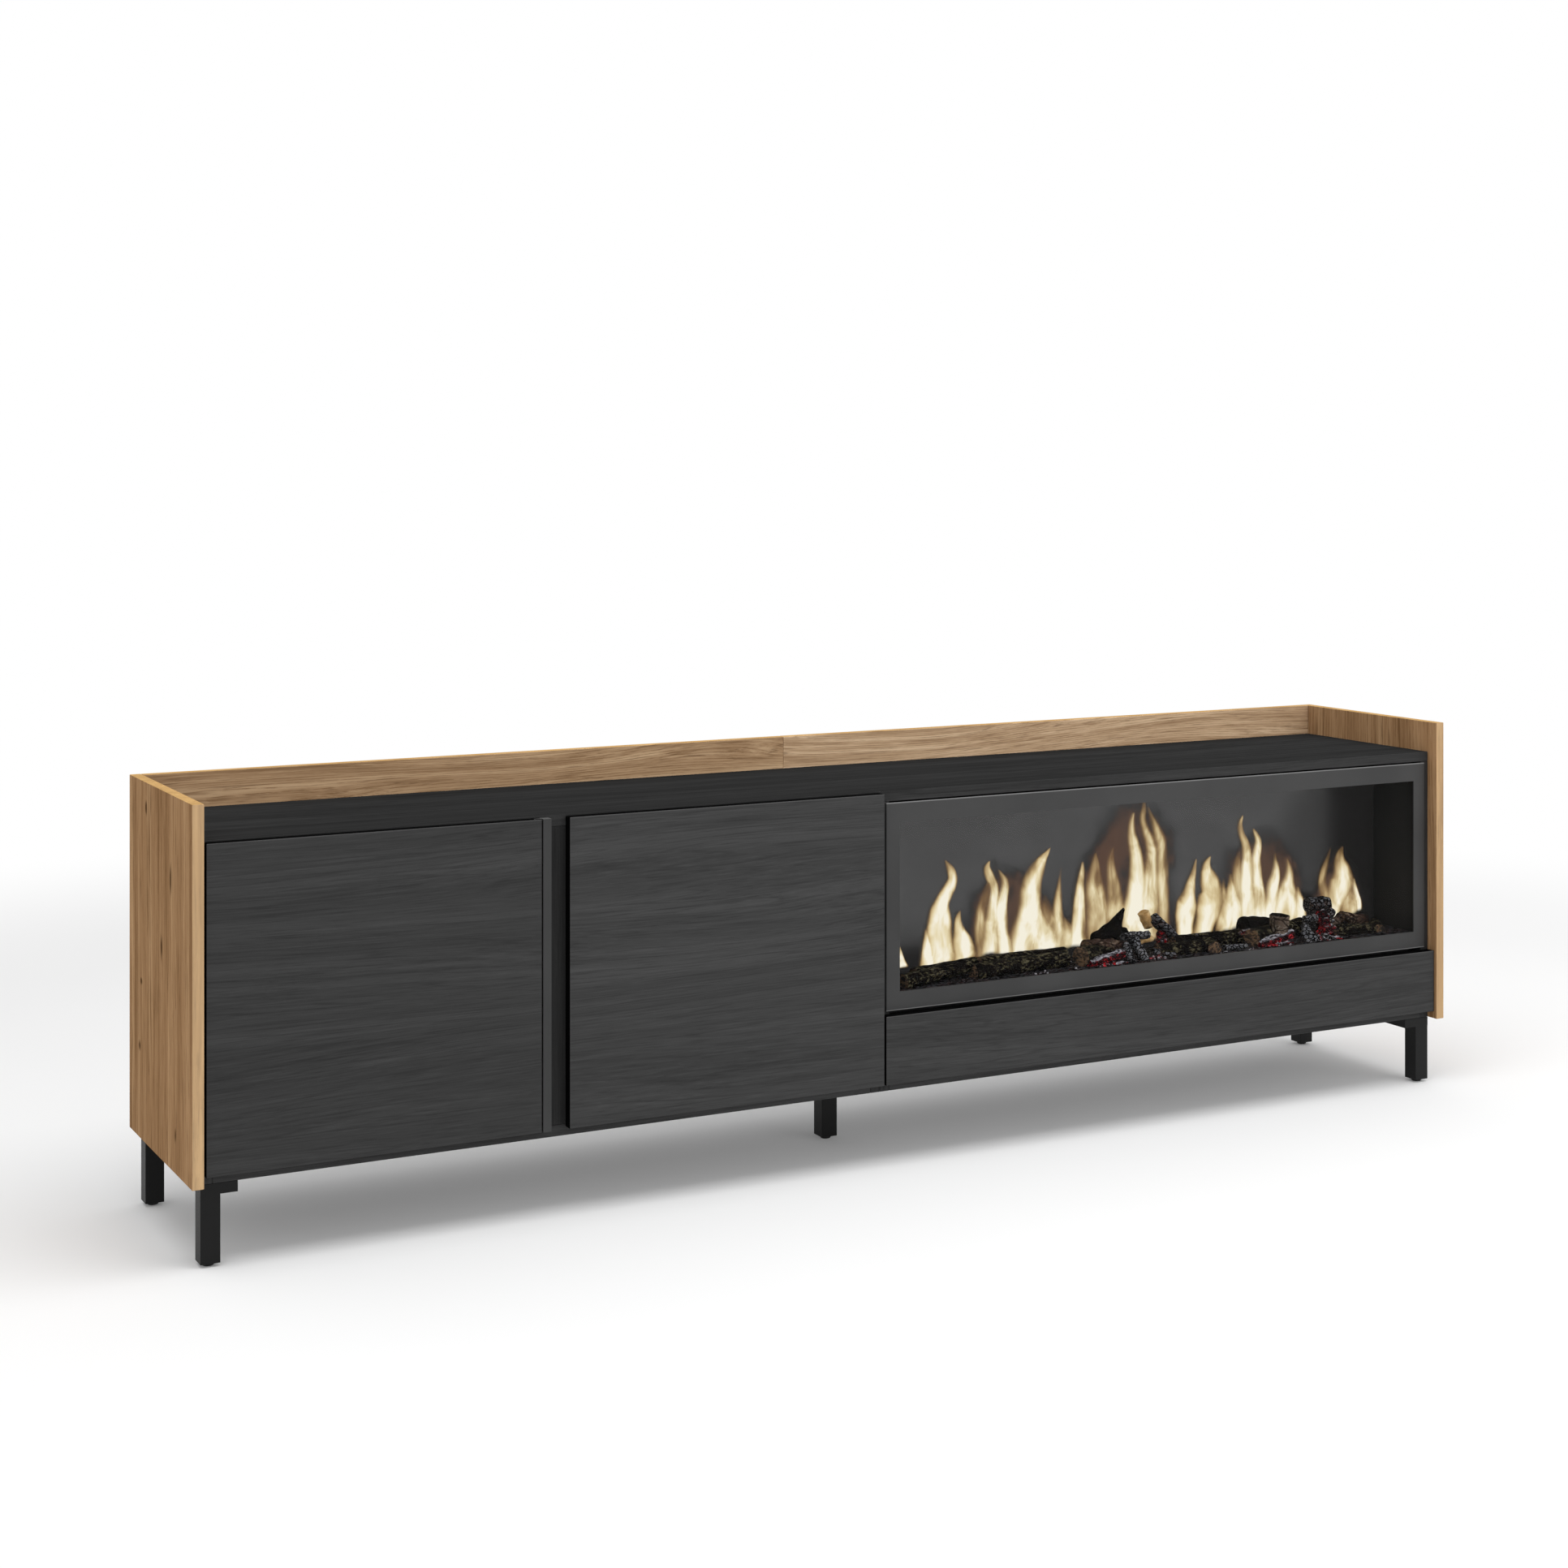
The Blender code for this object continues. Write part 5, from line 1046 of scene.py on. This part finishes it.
logKinds = (
    # name, axes, side finish, end finish, sizes that differ
    ("logs_bark", barkLogs, "bark", "cut", {}),
    ("logs_charred", charLogs, "char", "char", {"Sides": 16, "Steps": 22, "Lumps": 0.0030, "Bark": 0.0014}),
    ("logs_ashy", ashyLogs, "ashy", "ashy", {"Sides": 16, "Steps": 22, "Lumps": 0.0026, "Bark": 0.0014}),
    ("logs_burnt", burntLogs, "burnt", "burnt", {"Steps": 22, "Lumps": 0.0032, "Bark": 0.0010}),
    ("logs_brown", brownLogs, "brown", "cut", {"Sides": 18, "Steps": 20, "Lumps": 0.0028, "Bark": 0.0010}),
    ("logs_sawn", blockLogs, "block", "burnt", {"Sides": 7, "Steps": 14, "Lumps": 0.0022, "Bark": 0.0008}),
    ("logs_pale", tanLogs, "tan", "tan", {"Sides": 14, "Steps": 12, "Lumps": 0.0030, "Bark": 0.0008}),
    ("logs_glowing", glowLogs, "glow", "glow", {"Sides": 18, "Steps": 30, "Lumps": 0.0034, "Bark": 0.0016}),
    ("logs_red", redLogs, "red", "red", {"Sides": 16, "Steps": 24, "Lumps": 0.0040, "Bark": 0.0018}),
)


def logInputs(side, end, changes):
    return {**logSizes, **changes, "Finish": logFinishes[side], "End Finish": logFinishes[end]}


logTree = makeLogTree(logInputs("bark", "cut", {}))
for name, rows, side, end, changes in logKinds:
    mesh = axesMesh(f"{name} axes", logLines(rows))
    runShaper(name, mesh, logTree, logInputs(side, end, changes))


bedSizes = {
    "Left": 0.0020, "Right": 0.9598, "Front": -0.1363, "Back": -0.0467,
    "Bottom": 0.2233, "Top": 0.2395,
    "Waves": 0.0030,    # height of the humps in the coals
    "Step": 0.0040,
}


def makeBedTree(sizes):
    tree, given = newShaper("bed of coals", sizes)
    pairs = (("Right", "Left"), ("Back", "Front"), ("Top", "Bottom"))
    ends = [(given(high), given(low)) for high, low in pairs]
    spans = [high - low for high, low in ends]
    block = shape(tree, "MeshCube", {
        "Size": vectorOf(tree, *spans), "Vertices Z": 2,
        "Vertices X": spans[0] / given("Step"), "Vertices Y": spans[1] / given("Step")})
    block = block.then("Transform", {
        "Translation": vectorOf(tree, *((high + low) / 2.0 for high, low in ends))})
    where = shape(tree, "InputPosition")
    swell = (noiseOf(where, 75.0, 3.0, 0.6) - 0.5) * (given("Waves") * 2.6)
    isTop = where.part("Z") > given("Top") - 0.001
    block = moved(block, vectorOf(tree, 0.0, 0.0, swell * isTop))
    return endShaper(block, given("Finish"), smooth=True)


emberSizes = {"Seed": 7, "Roughness": 0.30}
emberShapes = ((0.8, 0.55, 0.45), (1.5, 1.0, 0.8))     # flattest and fullest lump, to its radius


def makeEmberTree(sizes):
    tree, given = newShaper("ember lumps", sizes)

    def anyVector(low, high):
        return addNode(tree, "FunctionNodeRandomValue", {
            "Min": low, "Max": high, "Seed": given("Seed")}, data_type="FLOAT_VECTOR")

    lumps = given("Geometry").then("InstanceOnPoints", {
        "Instance": shape(tree, "MeshIcoSphere", {"Radius": 1.0, "Subdivisions": 3}),
        "Rotation": anyVector((0.0, 0.0, 0.0), (6.28, 6.28, 6.28)),
        "Scale": scaled(anyVector(*emberShapes), named(tree, "radius"))})
    lumps = lumps.then("RealizeInstances")
    lumps = roughened(lumps, (330.0, given("Roughness") * 0.012))
    return endShaper(lumps, given("Finish"), smooth=True)


# (x, y, reach across, reach in depth, lowest, highest) in mm, number of lumps, glow
emberHeaps = (
    (384, -125, 30, 5, 236, 243, 44, 1.0), (475, -122, 26, 6, 237, 243, 34, 0.8),
    (506, -100, 14, 12, 238, 262, 46, 1.0), (702, -125, 32, 5, 236, 243, 48, 1.0),
    (790, -122, 26, 7, 237, 246, 44, 0.6), (820, -96, 14, 14, 238, 268, 56, 1.0),
    (262, -130, 14, 2, 238, 242, 5, 0.3), (318, -130, 5, 2, 238, 242, 3, 0.0),
    (590, -131, 8, 2, 238, 242, 3, 0.0), (639, -131, 10, 2, 238, 242, 4, 0.1),
    (656, -84, 24, 6, 252, 262, 24, 0.9), (350, -92, 22, 8, 240, 252, 22, 0.9),
    (880, -86, 30, 12, 238, 246, 20, 0.3), (545, -100, 26, 10, 238, 246, 12, 0.5),
)
emberFront = -131.5                 # no lump comes nearer to the glass
emberRadii = (0.0012, 0.0034)       # in metres
emberShare = 0.55                   # of the lumps in a glowing heap glow


def makeEmbers():
    chance = random.Random(41)
    points = []
    for x, y, across, deep, lowest, highest, count, glow in emberHeaps:
        for _ in range(count):
            dx, dy = chance.uniform(-1.0, 1.0), chance.uniform(-1.0, 1.0)
            rise = (highest - lowest) * (1.0 - abs(dx)) * chance.random()
            place = (x + dx * across, max(emberFront, y + dy * deep), lowest + rise)
            points.append([(metres(place), {
                "radius": chance.uniform(*emberRadii), "glow": glow * (chance.random() < emberShare)})])
    sizes = {**emberSizes, "Finish": makeEmber()}
    runShaper("embers", axesMesh("ember places", points), makeEmberTree(sizes), sizes)


bedInputs = {**bedSizes, "Finish": logFinishes["coal"]}
bedMesh = bpy.data.meshes.new("coal bed")
bedPiece = runShaper("coal_bed", bedMesh, makeBedTree(bedInputs), bedInputs)
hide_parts("log_bed")
makeEmbers()
print("log bed made")


# the hardware: screws, the flanges of the hinge cups, the lamps of the light bar

screwSizes = {
    "Sides": 20,
    "Dome": 0.72,       # radius of the flat of the head, as a share of its full radius
    "Socket": 0.46,     # radius of the socket
    "Sink": 0.55,       # depth of the socket, as a share of the height
}


def makeScrewTree(sizes):
    # one head on every point, standing along the direction stored there
    tree, given = newShaper("screw heads on points", sizes)
    side = shape(tree, "MeshCone", {
        "Vertices": given("Sides"), "Radius Top": given("Dome"), "Radius Bottom": 1.0, "Depth": 1.0,
    }, fill_type="NGON")
    hole = side.then("ExtrudeMesh", {"Selection": side.beside("Top"), "Offset Scale": 0.0}, mode="FACES")
    ring = hole.then("ScaleElements", {
        "Selection": hole.beside("Top"), "Scale": given("Socket") / given("Dome")})
    sunk = ring.then("ExtrudeMesh", {
        "Selection": hole.beside("Top"), "Offset Scale": given("Sink") * -1.0}, mode="FACES")
    towards = vectorOf(tree, *(named(tree, f"towards{axis}") for axis in "XYZ"))
    radius = named(tree, "radius")
    heads = given("Geometry").then("InstanceOnPoints", {
        "Instance": sunk,
        "Rotation": addNode(tree, "FunctionNodeAlignRotationToVector", {"Vector": towards}, axis="Z"),
        "Scale": vectorOf(tree, radius, radius, named(tree, "tall"))})
    return endShaper(heads, given("Finish"))


def screwPoint(place, towards, radius, tall):
    return [(metres(place), {
        "radius": radius / 1000, "tall": tall / 1000,
        "towardsX": towards[0], "towardsY": towards[1], "towardsZ": towards[2]})]


# the places of the screws and of the flanges round the hinge cups, in mm
hinges = {
    "heights": (214.5, 423.5),
    # face of the side panel, and the way into the cupboard
    "faces": ((-969.7, 1), (-38.0, -1)),
    # on the arm: how far into the cupboard, depth, radius and height of each head
    "armScrews": ((4.0, -79.4, 3.9, 1.6), (9.6, -96.0, 3.0, 1.2), (9.6, -124.0, 3.0, 1.2)),
    "cupCentres": {"left": -959.8, "right": -46.0},
    "earScrews": (-22.0, 22.0),     # above and below the middle of the cup
}
flange = {
    "rim": 18.6, "ear": 7.2, "reach": 22.0, "hole": 17.5,   # radii, and from the cup to an ear
    "back": -144.2, "front": -143.7, "steps": 64,
}
legScrews = (
    (-948.85, -131.0), (-972.2, -107.65), (948.85, -131.0), (972.2, -107.65),
    (-948.85, 151.0), (-972.2, 127.65), (948.85, 151.0), (972.2, 127.65), (-40.9, -1.9), (-5.1, 33.9),
)
screwRows = {
    # radius and height of each kind of head
    "legHead": (4.2, 2.0), "runnerHead": (3.2, 0.9), "railHead": (2.8, 0.8), "inletHead": (1.6, 0.9),
    "earHead": (3.4, 1.3),
    "inlet": (866.6, 900.8), "inletFace": 116.0, "inletHeight": 282.8,      # flange of the power inlet
    "legHeight": 89.0,          # under the cap brackets
    "runnerHeight": 163.7,
    # side of each runner, and the way its screws face; then their places in depth
    "runners": ((-5.9, 1), (967.9, -1)), "runnerDepths": (-104.0, -22.0, 60.0),
    "rails": ((-1.5, -1), (963.5, 1)), "railDepths": (-112.0, -36.0, 40.0),
}
cabinetScrews = [
    screwPoint((face + inward * aside, y, z), (inward, 0, 0), radius, tall)
    for face, inward in hinges["faces"] for z in hinges["heights"]
    for aside, y, radius, tall in hinges["armScrews"]
] + [
    screwPoint((x, y, screwRows["legHeight"]), (0, 0, -1), *screwRows["legHead"]) for x, y in legScrews
] + [
    screwPoint((x, y, screwRows["runnerHeight"]), (inward, 0, 0), *screwRows["runnerHead"])
    for x, inward in screwRows["runners"] for y in screwRows["runnerDepths"]
] + [
    screwPoint((x, screwRows["inletFace"], screwRows["inletHeight"]), (0, 1, 0), *screwRows["inletHead"])
    for x in screwRows["inlet"]
]
drawerScrews = [
    screwPoint((x, y, screwRows["runnerHeight"]), (outward, 0, 0), *screwRows["railHead"])
    for x, outward in screwRows["rails"] for y in screwRows["railDepths"]
]


def flangeReach(angle):
    # from the middle of the cup to the outline: a ring with an ear above and below
    across, up = abs(math.cos(angle)), abs(math.sin(angle))
    far = flange["ear"] / max(across, 1e-6)
    if far * up > flange["reach"]:
        far = flange["reach"] * up + math.sqrt(max(0.0, flange["ear"] ** 2 - (flange["reach"] * across) ** 2))
    return max(flange["rim"], far)


def makeFlanges(side):
    # pressed steel flange round each hinge cup, with an ear above and below for its screws
    count = flange["steps"]
    layer = 2 * count
    corners, faces = [], []
    for z in hinges["heights"]:
        start = len(corners)
        for y in (flange["back"], flange["front"]):
            for i in range(count):
                angle = 2 * math.pi * i / count
                for far in (flange["hole"], flangeReach(angle)):
                    corners.append(metres((
                        hinges["cupCentres"][side] + far * math.cos(angle), y, z + far * math.sin(angle))))
        for i in range(count):
            a, b = start + 2 * i, start + 2 * ((i + 1) % count)
            faces += [(a, a + 1, b + 1, b), (a + layer, b + layer, b + 1 + layer, a + 1 + layer),
                      (a, b, b + layer, a + layer), (a + 1, a + 1 + layer, b + 1 + layer, b + 1)]
    mesh = bpy.data.meshes.new(f"{side}_hinge_flanges")
    mesh.from_pydata(corners, [], faces)
    mesh.update()
    mesh.materials.append(nickel)
    item = newObject(mesh.name, mesh)
    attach(item, f"{side}_door")


screwInputs = {**screwSizes, "Finish": nickel}
screwTree = makeScrewTree(screwInputs)


def makeScrews(body, places):
    mesh = axesMesh(f"{body} screw places", places)
    runShaper(f"{body}_screws", mesh, screwTree, screwInputs, body)


makeScrews("cabinet", cabinetScrews)
makeScrews("drawer", drawerScrews)
for side, x in hinges["cupCentres"].items():
    makeFlanges(side)
    makeScrews(f"{side}_door", [
        screwPoint((x, flange["front"], z + dz), (0, 1, 0), *screwRows["earHead"])
        for z in hinges["heights"] for dz in hinges["earScrews"]])


chipSizes = {
    "First": 0.0120, "Spacing": 0.0200, "Count": 48, "Front": -0.0295, "Height": 0.2271,
    "Radius": 0.0022, "Flatness": 0.7,
}


def makeChips():
    # warm white lamps along the front of the light bar
    material, shader, place = newFinish(
        "warm white lamp lens", Roughness=0.3, Emission_Color="#ffd49a", Emission_Strength=0.8)
    feed(shader, Base_Color=blendColour(noiseOf(place, 900.0, 2.0), "#ffd9a0", "#fff1d0"))
    sizes = {**chipSizes, "Finish": material}
    tree, given = newShaper("lamps along the bar", sizes)
    row = shape(tree, "MeshLine", {
        "Count": given("Count"), "Offset": vectorOf(tree, given("Spacing")),
        "Start Location": vectorOf(tree, given("First"), given("Front"), given("Height"))}, mode="OFFSET")
    lens = shape(tree, "MeshUVSphere", {"Segments": 12, "Rings": 8, "Radius": given("Radius")})
    lamps = row.then("InstanceOnPoints", {
        "Instance": lens, "Scale": vectorOf(tree, 1.0, given("Flatness"), 1.0)})
    endShaper(lamps, given("Finish"), smooth=True)
    runShaper("light_bar_lamps", bpy.data.meshes.new("bar"), tree, sizes)


makeChips()
print("hardware made")


# the camera and the studio

view = {
    # fitted to the edges in the photo: a level camera with its lens shifted
    "place": (-1.77366, -3.18187, 1.00005), "turn": -27.746,
    "lens": 57.18, "sensor": 36.0, "shift": -0.2104,
}
camera = bpy.data.cameras.new("camera")
camera.sensor_width = view["sensor"]
camera.lens = view["lens"]
camera.shift_y = view["shift"]
cameraObject = newObject("camera", camera)
cameraObject.location = view["place"]
cameraObject.rotation_euler = (math.radians(90.0), 0.0, math.radians(view["turn"]))
bpy.context.scene.camera = cameraObject
bpy.context.scene.view_settings.view_transform = "Standard"

studio = {
    "sky": 0.70,
    "lamps": (
        # name, place, aimed at, size, watts
        ("overhead", (0.0, -0.75, 3.0), (0.0, -0.2, 0.3), (4.4, 1.8), 62.0),
        ("front", (2.3, -3.5, 1.5), (0.4, 0.0, 0.2), (3.0, 2.0), 30.0),
    ),
    "floorColours": ("#f2f2f2", "#f4f4f4"),
    "floorReach": 9.0, "floorHeight": -0.0004,
    "floorNear": 1.7, "floorFar": 3.2,  # the floor turns plain white between them
    "floorLift": 0.10,  # share of plain white in the floor near the stand, which opens up its shadow
}


def rayKinds(tree, *kinds):
    # 1 for a ray that is one of these kinds
    first, *others = [addNode(tree, "ShaderNodeLightPath", out=f"Is {kind} Ray") for kind in kinds]
    for other in others:
        first = maths("MAXIMUM", first, other)
    return first


def makeStudio():
    world = bpy.data.worlds.new("studio")
    bpy.context.scene.world = world
    world.use_nodes = True
    tree = world.node_tree
    tree.nodes.clear()
    strength = remap(rayKinds(tree, "Camera", "Transmission"), 0.0, 1.0, studio["sky"], 1.0)
    sky = addNode(tree, "ShaderNodeBackground", {"Color": "#ffffff", "Strength": strength})
    addNode(tree, "ShaderNodeOutputWorld", {"Surface": sky})
    for name, where, target, size, watts in studio["lamps"]:
        lamp = bpy.data.lights.new(name, "AREA")
        lamp.shape = "RECTANGLE"
        lamp.size, lamp.size_y = size
        lamp.energy = watts
        holder = newObject(name, lamp)
        holder.location = where
        holder.rotation_euler = (Vector(target) - Vector(where)).to_track_quat("-Z", "Y").to_euler()
    mesh = bpy.data.meshes.new("studio_floor")
    reach = studio["floorReach"]
    mesh.from_pydata(
        [(x * reach, y * reach, studio["floorHeight"]) for x, y in ((-1, -1), (1, -1), (1, 1), (-1, 1))],
        [], [(0, 1, 2, 3)])
    material, shader, place = newFinish("pale studio floor", Roughness=1.0, Specular_IOR_Level=0.0)
    tree = place.tree
    feed(shader, Base_Color=blendColour(noiseOf(place, 2.0, 2.0), *studio["floorColours"]))
    far = remap(lengthOf(place), studio["floorNear"], studio["floorFar"], studio["floorLift"], 1.0)
    white = addNode(tree, "ShaderNodeEmission", {"Color": "#ffffff", "Strength": 1.0})
    mixed = addNode(tree, "ShaderNodeMixShader", {
        0: far * rayKinds(tree, "Camera", "Glossy", "Transmission"), 1: Wire(shader.outputs[0]), 2: white})
    plug(tree.nodes["Material Output"].inputs["Surface"], mixed)
    mesh.materials.append(material)
    floor = newObject("studio_floor", mesh)


makeStudio()
print("studio made")
